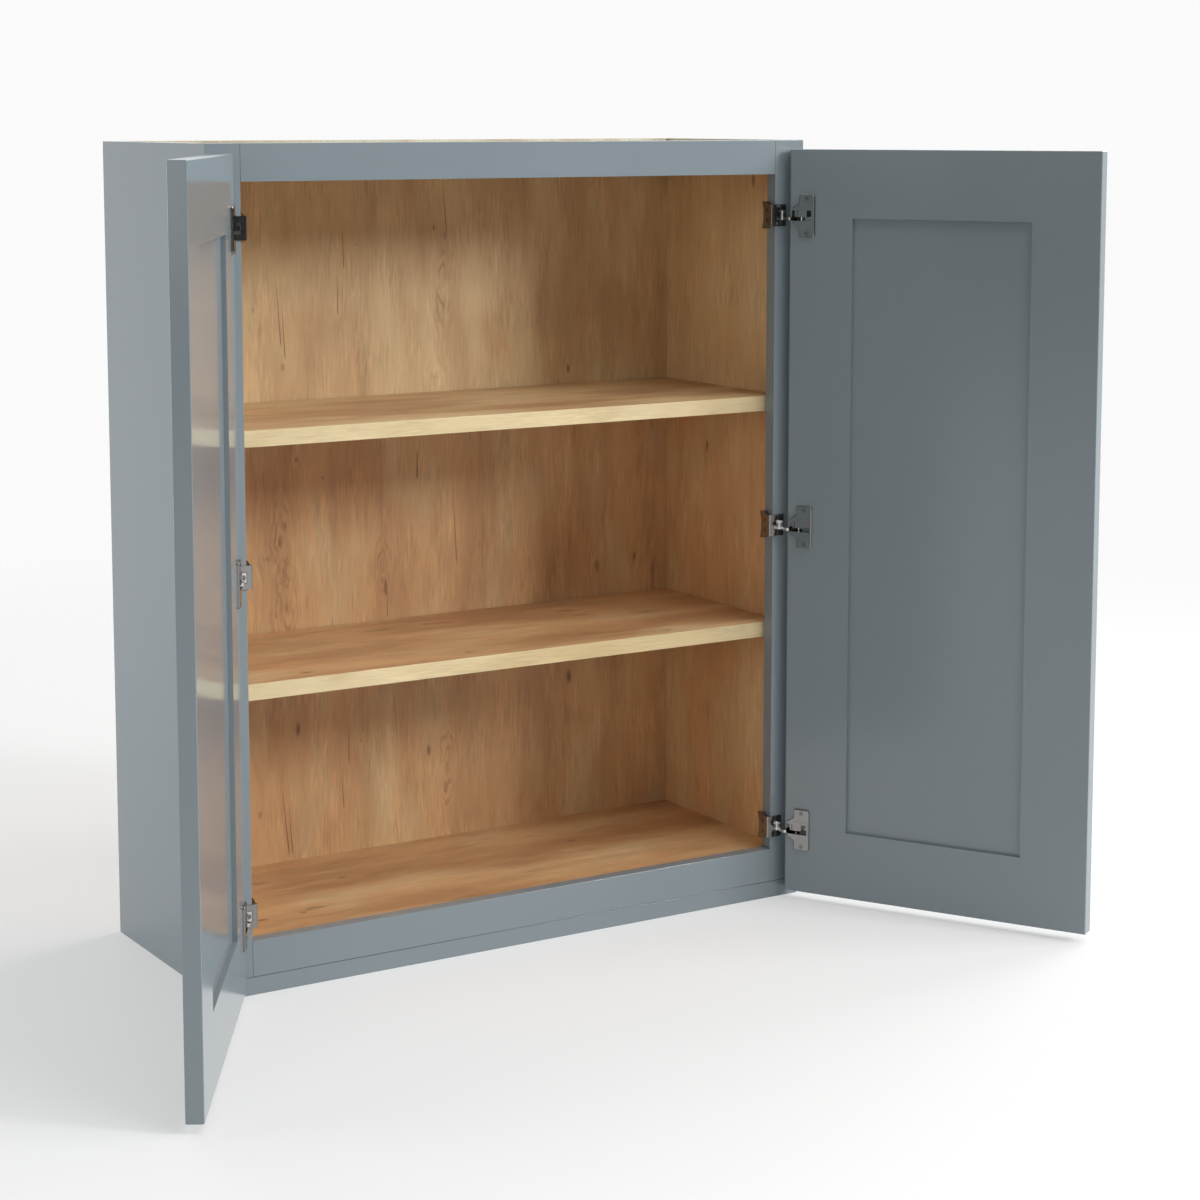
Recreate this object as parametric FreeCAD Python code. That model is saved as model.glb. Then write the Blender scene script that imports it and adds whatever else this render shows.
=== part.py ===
import FreeCAD, Part
import math
import os

# Face-frame wall cabinet with two shaker doors standing open, in millimetres, +Z up.
# The origin is on the wall plane, at the middle of the back's rear face. X runs to the right,
# Y into the wall and Z up, and the doors open towards -Y.
# Pieces are drawn with Z from the cabinet's bottom edge, and lowered when they are written.
# Every left-hand piece is drawn first, with its door closed. Then the door is swung open
# and the right-hand pieces are mirrored from it.

# Cabinet box
CABINET_W = 762.0
CABINET_H = 914.4
CABINET_D = 285.75          # wall to the front of the face frame
SIDE_T = 12.7
BACK_T = 12.0
TOP_T = 12.7
BOTTOM_T = 12.7
TOP_RECESS = 20.0           # top panel below the top edges
FLOOR_DROP = 4.0            # cabinet floor below the bottom rail's top edge
DADO_DEPTH = 6.0            # how far top, bottom and back are let into the sides
WOOD_FIT = 0.1              # clearance in every groove, dado and mortise
PANEL_EASE = 0.5            # rounding of the outer edges of the side panels

# Face frame
FRAME_T = 16.0
STILE_W = 40.0
TOP_RAIL_H = 40.0
BOTTOM_RAIL_H = 40.0
STRIP_H = 20.0
FRAME_EASE = 0.5
TENON_T = 6.0
TENON_L = 14.0
TENON_SHOULDER = 8.0        # rail height left above and below a tenon
SIDE_TONGUE_T = 5.0         # tongue of a side panel in its frame stile
SIDE_TONGUE_L = 5.0
TONGUE_SHOULDER = 12.0      # stile length left above and below the tongue

# Shelves and their pins
SHELF_T = 18.0
LOWER_SHELF_TOP = 336.5
UPPER_SHELF_TOP = 610.5
SHELF_FRONT_GAP = 4.0       # face frame to shelf
SHELF_BACK_GAP = 2.0
SHELF_END_GAP = 1.5
BAND_T = 1.5
SHELF_PIN_R = 2.5
SHELF_PIN_OUT = 9.0         # length under the shelf
SHELF_PIN_IN = 8.0          # length in the side panel
SHELF_PIN_COLLAR_R = 3.5
SHELF_PIN_COLLAR_T = 1.0
SHELF_PIN_INSET = 45.0      # pin from the shelf's front or back edge
PIN_FIT = 0.05

# Doors
DOOR_T = 18.0
DOOR_STILE_W = 80.0
DOOR_RAIL_H = 80.0
DOOR_PANEL_T = 6.0
DOOR_BACK_RECESS = 5.0      # panel below the inner face
DOOR_GROOVE_DEPTH = 10.0
PANEL_FLOAT = 1.0           # room at the bottom of a groove
SIDE_REVEAL = 1.5           # closed door's hinge edge inside the cabinet's side
END_REVEAL = 10.6           # closed door below the top and above the bottom
MEETING_GAP = 3.0
DOOR_EASE = 1.0
HINGE_EDGE_EASE = 2.6
DOOR_OPEN_DEG = 120.0

# Hinges: pivot, link, cup, plate and bracket
HINGE_FROM_END = 77.5       # hinge centre from the end of the door
PIVOT_FROM_EDGE = 11.2
PIVOT_DEPTH = 10.4          # below the door's inner face
HINGE_PIN_R = 1.2
HINGE_PIN_L = 18.0
HINGE_PIN_RUN = 0.05        # running clearance of the link on its pin
PRESS_GAP = 0.02            # pin in the cup, screws in their holes
EYE_WALL = 1.0
LINK_T = 1.5
LINK_H = 11.0
LINK_WIDE_L = 8.0           # full-height end of the link, from the frame
LINK_STRIP_H = 3.4          # lower part of the link, which swings in the cup
LINK_BEND_R = 1.2
LINK_CLEAR = 0.6            # link to the slot's sides and ends
RISER_FROM_OPENING = 9.5    # link's riser from the stile's inner edge
FOOT_FROM_OPENING = 1.0     # end of the link's foot from the stile's inner edge
CUP_R = 15.0
CUP_END_WALL = 2.2
CUP_NOSE_WALL = 0.8
CUP_NOSE_SIDE = 1.1
CUP_FLOOR = 0.7
CUP_FIT = 0.1
PLATE_T = 3.0
PLATE_H = 50.0
PLATE_WING_W = 19.5
PLATE_NECK_H = 29.0
PLATE_TIP_H = 18.0
PLATE_CORNER_R = 3.0
PLATE_WING_R = 1.5
PLATE_NECK_R = 2.0
PLATE_EASE = 1.0            # rounding of the plate's upper edges
PLATE_FAR_BRIDGE = 2.7      # plate beyond the slot
NOTCH_L = 4.6               # notch in the plate's tip, for the link
NOTCH_DEPTH = 4.0           # below the door's inner face
RIM_T = 0.3                 # raised cover over the cup
RIM_W = 3.6                 # cover above and below the link
RIM_L = 18.5
GROOVE_W = 0.9              # groove along the cover's front edge
GROOVE_DEPTH = 2.0
CLOSED_CLEAR = 0.5          # closed door's hinge plate to the bracket
SWING_CLEAR = 0.6           # swinging hinge plate to the face frame
FLANGE_T = 1.5
FLANGE_W = 14.5             # bracket over the stile's face
LEG_T = 6.0                 # bracket past the stile's inner edge
LEG_BEHIND = 2.0            # bracket past the stile's back
BLOCK_H = 25.5
HORN_H = 32.0
HORN_START = 5.0            # horns begin behind the frame's face
HORN_NOTCH = 2.6
HORN_LENGTH = 6.5
BRACKET_EASE = 1.2

# Screws
CUP_SCREW_FROM_EDGE = 23.4
CUP_SCREW_PITCH = 41.0
BRACKET_SCREW_PITCH = 12.0
BRACKET_SCREW_BACK = 7.5    # behind the frame's face
LINK_SCREW_FROM_OPENING = 4.6
SCREW_SHANK_R = 1.5
SCREW_HEAD_R = 3.0
CUP_SCREW_L = 11.0
BRACKET_SCREW_L = 18.0
LINK_SCREW_L = 12.0
CROSS_W = 0.8
CROSS_L = 3.6
CROSS_DEPTH = 0.6

# Places worked out from the sizes
LEFT = -CABINET_W / 2
FRONT = -CABINET_D
FRAME_BACK = FRONT + FRAME_T
OPENING_X = LEFT + STILE_W
OPENING_Z0 = STRIP_H + BOTTOM_RAIL_H
OPENING_Z1 = CABINET_H - TOP_RAIL_H
FLOOR_TOP = OPENING_Z0 - FLOOR_DROP
TOP_PANEL_TOP = CABINET_H - TOP_RECESS
SIDE_INNER = LEFT + SIDE_T
SHELF_TOPS = {"lower": LOWER_SHELF_TOP, "upper": UPPER_SHELF_TOP}
SHELF_FRONT = FRAME_BACK + SHELF_FRONT_GAP
SHELF_BACK = -BACK_T - SHELF_BACK_GAP

DOOR_GAP = PLATE_T + RIM_T + FLANGE_T + CLOSED_CLEAR
DOOR_X = LEFT + SIDE_REVEAL
DOOR_W = CABINET_W / 2 - SIDE_REVEAL - MEETING_GAP / 2
DOOR_IN = FRONT - DOOR_GAP
DOOR_OUT = DOOR_IN - DOOR_T
DOOR_Z0 = END_REVEAL
DOOR_Z1 = CABINET_H - END_REVEAL
GROOVE_Y1 = DOOR_IN - DOOR_BACK_RECESS
GROOVE_Y0 = GROOVE_Y1 - DOOR_PANEL_T
TONGUE_L = DOOR_GROOVE_DEPTH - PANEL_FLOAT

HINGE_HEIGHTS = {
    "top": DOOR_Z1 - HINGE_FROM_END,
    "middle": (DOOR_Z0 + DOOR_Z1) / 2,
    "bottom": DOOR_Z0 + HINGE_FROM_END,
}
PIVOT_X = DOOR_X + PIVOT_FROM_EDGE
PIVOT_Y = DOOR_IN - PIVOT_DEPTH
EYE_R = HINGE_PIN_R + HINGE_PIN_RUN + EYE_WALL
RISER_X = OPENING_X - RISER_FROM_OPENING
FOOT_X = OPENING_X - FOOT_FROM_OPENING
LEAN = math.radians(DOOR_OPEN_DEG - 90)
SLOT_X0 = PIVOT_X - PIVOT_DEPTH * math.tan(LEAN) - LINK_T / 2 / math.cos(LEAN) - LINK_CLEAR
SLOT_X1 = RISER_X + LINK_T / 2 + LINK_CLEAR
SLOT_H = LINK_H + 2 * LINK_CLEAR
SLOT_FLOOR = PIVOT_Y - EYE_R - LINK_CLEAR / 2
POCKET_FLOOR = FRONT - LINK_WIDE_L - LINK_CLEAR
POCKET_TURN = math.hypot(RISER_X - LINK_T / 2 - PIVOT_X, FRONT - LINK_WIDE_L - PIVOT_Y)
POCKET_X0 = PIVOT_X + math.sqrt(POCKET_TURN ** 2 - (PIVOT_DEPTH + PLATE_T + RIM_T) ** 2) - LINK_CLEAR
CUP_X = SLOT_X1 + CUP_END_WALL - CUP_R
CUP_BOTTOM = SLOT_FLOOR - CUP_FLOOR
NOSE_X = SLOT_X0 - CUP_NOSE_WALL
NOSE_H = SLOT_H + 2 * CUP_NOSE_SIDE
PLATE_X1 = SLOT_X1 + PLATE_FAR_BRIDGE
PLATE_REACH = PIVOT_DEPTH + DOOR_GAP - SWING_CLEAR
PLATE_X0 = PIVOT_X - math.sqrt(PLATE_REACH ** 2 - (PIVOT_DEPTH + PLATE_T) ** 2)
CUP_SCREW_X = DOOR_X + CUP_SCREW_FROM_EDGE
LINK_SCREW_X = OPENING_X - LINK_SCREW_FROM_OPENING
BRACKET_SCREW_Y = FRONT + BRACKET_SCREW_BACK

X_AXIS = FreeCAD.Vector(1, 0, 0)
Y_AXIS = FreeCAD.Vector(0, 1, 0)
Z_AXIS = FreeCAD.Vector(0, 0, 1)
ORIGIN = FreeCAD.Vector(0, 0, 0)
PLANES = {
    "XY": (X_AXIS, Y_AXIS, Z_AXIS),
    "XZ": (X_AXIS, Z_AXIS, Y_AXIS),
    "YZ": (Y_AXIS, Z_AXIS, X_AXIS),
}
SAME_PLACE = 1e-6
SAME_PLANE = 1e-4           # how near an edge is to a plane that it lies on
CUT_PAST = 1.0              # how far a cutting solid runs past the face it opens


def box(x0, x1, y0, y1, z0, z1):
    """A block between two corners."""
    return Part.makeBox(x1 - x0, y1 - y0, z1 - z0, FreeCAD.Vector(x0, y0, z0))


def rod(radius, start, axis, length):
    """A cylinder from a start point along an axis."""
    return Part.makeCylinder(radius, length, start, axis)


def rounded_wire(corners):
    """A closed outline through (point, radius) corners, with a tangent arc at each radius."""
    stations = []
    for index, (here, radius) in enumerate(corners):
        if radius == 0:
            stations.append((here, None, here))
            continue
        to_last = (corners[index - 1][0] - here).normalize()
        to_next = (corners[(index + 1) % len(corners)][0] - here).normalize()
        half = to_last.getAngle(to_next) / 2
        inward = (to_last + to_next).normalize()
        reach = radius / math.tan(half)
        middle = here + inward * (radius / math.sin(half) - radius)
        stations.append((here + to_last * reach, middle, here + to_next * reach))
    edges = []
    for (start, middle, end), following in zip(stations, stations[1:] + stations[:1]):
        if middle is not None:
            edges.append(Part.Arc(start, middle, end).toShape())
        if (following[0] - end).Length > SAME_PLACE:
            edges.append(Part.LineSegment(end, following[0]).toShape())
    return Part.Wire(edges)


def prism(points, plane, low, high):
    """A solid with an outline of (across, up, corner radius) points, drawn out between two levels."""
    across, up, out = PLANES[plane]
    wire = rounded_wire([(across * u + up * v, radius) for u, v, radius in points])
    solid = Part.Face(wire).extrude(out * (high - low))
    solid.translate(out * low)
    return solid


def edges_on(shape, **planes):
    """The edges that lie wholly on the given coordinate planes, such as X=0, Y=5."""
    found = []
    for edge in shape.Edges:
        limits = edge.BoundBox
        spans = {"X": (limits.XMin, limits.XMax), "Y": (limits.YMin, limits.YMax),
                 "Z": (limits.ZMin, limits.ZMax)}
        if all(abs(end - value) < SAME_PLANE for axis, value in planes.items() for end in spans[axis]):
            found.append(edge)
    return found


def eased(shape, radius, *places):
    """The shape with the edges on each place, a set of coordinate planes, rounded."""
    edges = []
    for place in places:
        for edge in edges_on(shape, **place):
            if not any(edge.isSame(other) for other in edges):
                edges.append(edge)
    return shape.makeFillet(radius, edges)


def mirrored(shape):
    """The right-hand twin of a left-hand piece."""
    return shape.mirror(ORIGIN, X_AXIS)


def swung_open(shape):
    """A left door piece, turned about the hinge pins from closed to fully open."""
    turned = shape.copy()
    turned.rotate(FreeCAD.Vector(PIVOT_X, PIVOT_Y, 0), Z_AXIS, -DOOR_OPEN_DEG)
    return turned


def cross_recess(top, axis):
    """The cross in a screw head whose top centre is given, with its axis pointing out of the head."""
    bars = box(-CROSS_L / 2, CROSS_L / 2, -CROSS_W / 2, CROSS_W / 2, 0, CROSS_DEPTH)
    bars = bars.fuse(box(-CROSS_W / 2, CROSS_W / 2, -CROSS_L / 2, CROSS_L / 2, 0, CROSS_DEPTH))
    bars.Placement = FreeCAD.Placement(top - axis * CROSS_DEPTH, FreeCAD.Rotation(Z_AXIS, axis))
    return bars


def flat_screw(top, axis, length, spare=0.0):
    """A countersunk screw, flush with the face at its top; spare widens it into the hole it fits."""
    cone_h = SCREW_HEAD_R - SCREW_SHANK_R
    cone = Part.makeCone(SCREW_HEAD_R + spare, SCREW_SHANK_R + spare, cone_h, top, -axis)
    shank = rod(SCREW_SHANK_R + spare, top - axis * (length + spare), axis, length + spare - cone_h)
    return cone.fuse(shank).removeSplitter()


def crossed_flat_screw(top, axis, length):
    """A countersunk screw with its cross."""
    return flat_screw(top, axis, length).cut(cross_recess(top, axis))


# Carcass

def panel_slot(top, thickness, x0, x1):
    """Room for the end of a level panel between two X limits, with its fit all round."""
    return box(x0, x1, FRAME_BACK - CUT_PAST, -BACK_T, top - thickness - WOOD_FIT, top + WOOD_FIT)


def shelf_pin_places():
    """Centres of the left-hand pins on the side's inner face: shelf name to a list of points."""
    places = {}
    for name, top in SHELF_TOPS.items():
        height = top - SHELF_T - SHELF_PIN_R - PIN_FIT
        depths = (SHELF_FRONT + SHELF_PIN_INSET, SHELF_BACK - SHELF_PIN_INSET)
        places[name] = [FreeCAD.Vector(SIDE_INNER, depth, height) for depth in depths]
    return places


def side_panel():
    """Left side: a tongue for the frame stile, dados for top and bottom and a rabbet for the back."""
    side = box(LEFT, SIDE_INNER, FRAME_BACK, 0, 0, CABINET_H)
    side = eased(side, PANEL_EASE, {"X": LEFT, "Y": FRAME_BACK}, {"X": LEFT, "Y": 0},
                 {"X": LEFT, "Z": 0}, {"X": LEFT, "Z": CABINET_H})
    middle = LEFT + SIDE_T / 2
    tongue = box(middle - SIDE_TONGUE_T / 2, middle + SIDE_TONGUE_T / 2, FRAME_BACK - SIDE_TONGUE_L,
                 FRAME_BACK, STRIP_H + TONGUE_SHOULDER, CABINET_H - TONGUE_SHOULDER)
    side = side.fuse(tongue).removeSplitter()
    dado_x = SIDE_INNER - DADO_DEPTH - WOOD_FIT
    past = SIDE_INNER + CUT_PAST
    side = side.cut(box(dado_x, past, -BACK_T - WOOD_FIT, CUT_PAST, -CUT_PAST, CABINET_H + CUT_PAST))
    side = side.cut(panel_slot(TOP_PANEL_TOP, TOP_T, dado_x, past))
    side = side.cut(panel_slot(FLOOR_TOP, BOTTOM_T, dado_x, past))
    for places in shelf_pin_places().values():
        for centre in places:
            depth = SHELF_PIN_IN + PIN_FIT
            side = side.cut(rod(SHELF_PIN_R + PIN_FIT, centre - X_AXIS * depth, X_AXIS, depth + CUT_PAST))
    return side


def level_panel(top, thickness):
    """A top or bottom panel, let into both sides, between the face frame and the back."""
    reach = -SIDE_INNER + DADO_DEPTH
    return box(-reach, reach, FRAME_BACK, -BACK_T, top - thickness, top)


def back_panel():
    """The full-height back that the cabinet is screwed to the wall through."""
    reach = -SIDE_INNER + DADO_DEPTH
    return box(-reach, reach, -BACK_T, 0, 0, CABINET_H)


# Face frame

def tenon(z0, z1, spare=0.0):
    """The stub at the left end of a frame rail, or its mortise when there is some to spare."""
    middle = FRONT + FRAME_T / 2
    half = TENON_T / 2 + spare
    low = z0 + TENON_SHOULDER - spare
    high = z1 - TENON_SHOULDER + spare
    return box(OPENING_X - TENON_L - spare, OPENING_X, middle - half, middle + half, low, high)


def frame_rail(z0, z1):
    """A level rail between the stiles, with a tenon at each end."""
    rail = box(OPENING_X, -OPENING_X, FRONT, FRAME_BACK, z0, z1)
    rail = eased(rail, FRAME_EASE, {"Y": FRONT}, {"Y": FRAME_BACK, "Z": OPENING_Z0},
                 {"Y": FRAME_BACK, "Z": CABINET_H})
    stub = tenon(z0, z1)
    return rail.fuse([stub, mirrored(stub)]).removeSplitter()


def frame_stile():
    """Left stile: mortises for the rails, a groove for the side's tongue and hinge screw holes."""
    stile = box(LEFT, OPENING_X, FRONT, FRAME_BACK, STRIP_H, CABINET_H)
    stile = eased(stile, FRAME_EASE, {"Y": FRONT}, {"X": LEFT, "Y": FRAME_BACK})
    stile = stile.cut(tenon(OPENING_Z1, CABINET_H, WOOD_FIT))
    stile = stile.cut(tenon(STRIP_H, OPENING_Z0, WOOD_FIT))
    middle = LEFT + SIDE_T / 2
    half = SIDE_TONGUE_T / 2 + WOOD_FIT
    stile = stile.cut(box(middle - half, middle + half, FRAME_BACK - SIDE_TONGUE_L - WOOD_FIT,
                          FRAME_BACK + CUT_PAST, STRIP_H + TONGUE_SHOULDER - WOOD_FIT,
                          CABINET_H - TONGUE_SHOULDER + WOOD_FIT))
    for height in HINGE_HEIGHTS.values():
        for top in bracket_screw_tops(height):
            stile = stile.cut(flat_screw(top, X_AXIS, BRACKET_SCREW_L, PRESS_GAP))
        stile = stile.cut(flat_screw(link_screw_top(height), -Y_AXIS, LINK_SCREW_L, PRESS_GAP))
    return stile


def base_strip():
    """The plain strip across the whole width, below the stiles and the bottom rail."""
    strip = box(LEFT, -LEFT, FRONT, FRAME_BACK, 0, STRIP_H)
    return eased(strip, FRAME_EASE, {"Y": FRONT}, {"X": LEFT, "Y": FRAME_BACK},
                 {"X": -LEFT, "Y": FRAME_BACK})


# Shelves

def shelf_board(top):
    """A shelf without its front band."""
    end = SIDE_INNER + SHELF_END_GAP
    return box(end, -end, SHELF_FRONT + BAND_T, SHELF_BACK, top - SHELF_T, top)


def shelf_band(top):
    """The band glued to a shelf's front edge."""
    end = SIDE_INNER + SHELF_END_GAP
    band = box(end, -end, SHELF_FRONT, SHELF_FRONT + BAND_T, top - SHELF_T, top)
    return eased(band, PANEL_EASE, {"Y": SHELF_FRONT})


def shelf_pin(centre):
    """A left-hand pin: shank in the side panel, collar on its face and peg under the shelf."""
    peg = rod(SHELF_PIN_R, centre - X_AXIS * SHELF_PIN_IN, X_AXIS, SHELF_PIN_IN + SHELF_PIN_OUT)
    collar = rod(SHELF_PIN_COLLAR_R, centre, X_AXIS, SHELF_PIN_COLLAR_T)
    return peg.fuse(collar).removeSplitter()


# Doors, drawn closed

def panel_groove(x0, x1, z0, z1):
    """The groove that holds the door panel and the rails' tongues."""
    return box(x0, x1, GROOVE_Y0 - WOOD_FIT, GROOVE_Y1 + WOOD_FIT, z0, z1)


def cup_bore(height):
    """The pocket in the hinge stile for a hinge cup and its nose."""
    centre = FreeCAD.Vector(CUP_X, CUP_BOTTOM - CUP_FIT, height)
    depth = DOOR_IN - CUP_BOTTOM + CUP_FIT + CUT_PAST
    bore = rod(CUP_R + CUP_FIT, centre, Y_AXIS, depth)
    half = NOSE_H / 2 + CUP_FIT
    nose = box(NOSE_X - CUP_FIT, CUP_X, CUP_BOTTOM - CUP_FIT, DOOR_IN + CUT_PAST,
               height - half, height + half)
    return bore.fuse(nose).removeSplitter()


def door_hinge_stile():
    """The upright that the hinges are let into."""
    inner_x = DOOR_X + DOOR_STILE_W
    stile = box(DOOR_X, inner_x, DOOR_OUT, DOOR_IN, DOOR_Z0, DOOR_Z1)
    stile = eased(stile, HINGE_EDGE_EASE, {"X": DOOR_X, "Y": DOOR_IN})
    stile = eased(stile, DOOR_EASE, {"X": DOOR_X, "Y": DOOR_OUT}, {"Y": DOOR_OUT, "Z": DOOR_Z0},
                  {"Y": DOOR_OUT, "Z": DOOR_Z1}, {"Y": DOOR_IN, "Z": DOOR_Z0}, {"Y": DOOR_IN, "Z": DOOR_Z1})
    stile = stile.cut(panel_groove(inner_x - DOOR_GROOVE_DEPTH, inner_x + CUT_PAST,
                                   DOOR_Z0 - CUT_PAST, DOOR_Z1 + CUT_PAST))
    for height in HINGE_HEIGHTS.values():
        stile = stile.cut(cup_bore(height))
        for top in cup_screw_tops(height):
            stile = stile.cut(flat_screw(top, Y_AXIS, CUP_SCREW_L, PRESS_GAP))
    return stile


def door_meeting_stile():
    """The upright at the middle of the cabinet."""
    inner_x = DOOR_X + DOOR_W - DOOR_STILE_W
    edge_x = DOOR_X + DOOR_W
    stile = box(inner_x, edge_x, DOOR_OUT, DOOR_IN, DOOR_Z0, DOOR_Z1)
    stile = eased(stile, DOOR_EASE, {"X": edge_x, "Y": DOOR_OUT}, {"X": edge_x, "Y": DOOR_IN},
                  {"Y": DOOR_OUT, "Z": DOOR_Z0}, {"Y": DOOR_OUT, "Z": DOOR_Z1},
                  {"Y": DOOR_IN, "Z": DOOR_Z0}, {"Y": DOOR_IN, "Z": DOOR_Z1},
                  {"X": edge_x, "Z": DOOR_Z0}, {"X": edge_x, "Z": DOOR_Z1})
    return stile.cut(panel_groove(inner_x - CUT_PAST, inner_x + DOOR_GROOVE_DEPTH,
                                  DOOR_Z0 - CUT_PAST, DOOR_Z1 + CUT_PAST))


def door_rail(z0, z1, outer_z, groove_z0, groove_z1):
    """A level rail, with a tongue at each end in the stiles' grooves and a groove for the panel."""
    x0 = DOOR_X + DOOR_STILE_W
    x1 = DOOR_X + DOOR_W - DOOR_STILE_W
    rail = box(x0, x1, DOOR_OUT, DOOR_IN, z0, z1)
    rail = eased(rail, DOOR_EASE, {"Y": DOOR_OUT, "Z": outer_z}, {"Y": DOOR_IN, "Z": outer_z})
    tongue = box(x0 - TONGUE_L, x1 + TONGUE_L, GROOVE_Y0, GROOVE_Y1, z0, z1)
    rail = rail.fuse(tongue).removeSplitter()
    past = DOOR_W
    return rail.cut(panel_groove(x0 - past, x1 + past, groove_z0, groove_z1))


def door_panel():
    """The flat panel that floats in the grooves."""
    x0 = DOOR_X + DOOR_STILE_W - TONGUE_L
    x1 = DOOR_X + DOOR_W - DOOR_STILE_W + TONGUE_L
    z0 = DOOR_Z0 + DOOR_RAIL_H - TONGUE_L
    z1 = DOOR_Z1 - DOOR_RAIL_H + TONGUE_L
    return box(x0, x1, GROOVE_Y0, GROOVE_Y1, z0, z1)


def door_pieces():
    """The left door, closed: piece name to solid."""
    low_rail_top = DOOR_Z0 + DOOR_RAIL_H
    high_rail_bottom = DOOR_Z1 - DOOR_RAIL_H
    return {
        "hinge_stile": door_hinge_stile(),
        "meeting_stile": door_meeting_stile(),
        "top_rail": door_rail(high_rail_bottom, DOOR_Z1, DOOR_Z1, high_rail_bottom - CUT_PAST,
                              high_rail_bottom + DOOR_GROOVE_DEPTH),
        "bottom_rail": door_rail(DOOR_Z0, low_rail_top, DOOR_Z0, low_rail_top - DOOR_GROOVE_DEPTH,
                                 low_rail_top + CUT_PAST),
        "panel": door_panel(),
    }


# Hinges, on the left side with the door closed

def cup_screw_tops(height):
    """Centres of the two wing plate screw heads, flush with their plate."""
    return [FreeCAD.Vector(CUP_SCREW_X, DOOR_IN + PLATE_T, height + side * CUP_SCREW_PITCH / 2)
            for side in (-1, 1)]


def bracket_screw_tops(height):
    """Centres of the two bracket screw heads, flush with the bracket's leg."""
    return [FreeCAD.Vector(OPENING_X + LEG_T, BRACKET_SCREW_Y, height + side * BRACKET_SCREW_PITCH / 2)
            for side in (-1, 1)]


def link_screw_top(height):
    """Centre of the link screw's head, flush with the link's foot."""
    return FreeCAD.Vector(LINK_SCREW_X, FRONT - LINK_T, height)


def cup_hollows(height):
    """What is open in a hinge cup: slot and pocket for the link, notch in the tip, groove along the cover."""
    above = DOOR_IN + PLATE_T + RIM_T + CUT_PAST
    low, high = height - SLOT_H / 2, height + SLOT_H / 2
    slot_top = low + LINK_STRIP_H + 2 * LINK_CLEAR
    groove_x = SLOT_X1 - RIM_L
    return [
        box(SLOT_X0, SLOT_X1, SLOT_FLOOR, above, low, slot_top),
        box(POCKET_X0, SLOT_X1, POCKET_FLOOR, above, low, high),
        box(PLATE_X0 - CUT_PAST, PLATE_X0 + NOTCH_L, DOOR_IN - NOTCH_DEPTH, above, low, high),
        box(groove_x - GROOVE_W, groove_x, DOOR_IN + PLATE_T - GROOVE_DEPTH, above, low, high),
    ]


def hinge_cup(height):
    """Cup with its nose, wing plate and raised cover, and what is open in it for the link."""
    cup = rod(CUP_R, FreeCAD.Vector(CUP_X, CUP_BOTTOM, height), Y_AXIS, DOOR_IN - CUP_BOTTOM)
    nose = box(NOSE_X, CUP_X, CUP_BOTTOM, DOOR_IN, height - NOSE_H / 2, height + NOSE_H / 2)
    wing_x = PLATE_X1 - PLATE_WING_W
    top_side = [
        (PLATE_X0, PLATE_TIP_H / 2, 0),
        (wing_x, PLATE_NECK_H / 2, PLATE_NECK_R),
        (wing_x, PLATE_H / 2, PLATE_WING_R),
        (PLATE_X1, PLATE_H / 2, PLATE_CORNER_R),
    ]
    outline = [(x, height + z, r) for x, z, r in top_side]
    outline += [(x, height - z, r) for x, z, r in reversed(top_side)]
    plate_top = DOOR_IN + PLATE_T
    plate = eased(prism(outline, "XZ", DOOR_IN, plate_top), PLATE_EASE, {"Y": plate_top})
    rim_half = SLOT_H / 2 + RIM_W
    rim = box(SLOT_X1 - RIM_L, SLOT_X1 + PLATE_FAR_BRIDGE / 2, plate_top, plate_top + RIM_T,
              height - rim_half, height + rim_half)
    body = cup.fuse([nose, plate, rim]).removeSplitter().cut(cup_hollows(height))
    hole_l = HINGE_PIN_L + 2 * PRESS_GAP
    body = body.cut(rod(HINGE_PIN_R + PRESS_GAP, FreeCAD.Vector(PIVOT_X, PIVOT_Y, height - hole_l / 2),
                        Z_AXIS, hole_l))
    for top in cup_screw_tops(height):
        body = body.cut(flat_screw(top, Y_AXIS, CUP_SCREW_L, PRESS_GAP))
    return body


def hinge_pin(height):
    """The pin pressed into the cup, on the door's axis."""
    return rod(HINGE_PIN_R, FreeCAD.Vector(PIVOT_X, PIVOT_Y, height - HINGE_PIN_L / 2), Z_AXIS, HINGE_PIN_L)


def hinge_link(height):
    """Cranked link: an eye on the pin, a narrow strip in the cup, a wide riser and a foot on the stile."""
    half = LINK_T / 2
    inner, outer = LINK_BEND_R, LINK_BEND_R + LINK_T
    low, high = height - LINK_H / 2, height + LINK_H / 2
    wide_y = FRONT - LINK_WIDE_L
    wide = prism([
        (RISER_X - half, wide_y, 0),
        (RISER_X + half, wide_y, 0),
        (RISER_X + half, FRONT - LINK_T, inner),
        (FOOT_X, FRONT - LINK_T, 0),
        (FOOT_X, FRONT, 0),
        (RISER_X - half, FRONT, outer),
    ], "XY", low, high)
    strip = prism([
        (PIVOT_X, PIVOT_Y - half, 0),
        (RISER_X + half, PIVOT_Y - half, outer),
        (RISER_X + half, wide_y, 0),
        (RISER_X - half, wide_y, 0),
        (RISER_X - half, PIVOT_Y + half, inner),
        (PIVOT_X, PIVOT_Y + half, 0),
    ], "XY", low, low + LINK_STRIP_H)
    base = FreeCAD.Vector(PIVOT_X, PIVOT_Y, low)
    link = wide.fuse([strip, rod(EYE_R, base, Z_AXIS, LINK_STRIP_H)]).removeSplitter()
    link = link.cut(rod(HINGE_PIN_R + HINGE_PIN_RUN, base - Z_AXIS * CUT_PAST, Z_AXIS, LINK_H))
    return link.cut(flat_screw(link_screw_top(height), -Y_AXIS, LINK_SCREW_L, PRESS_GAP))


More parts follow.
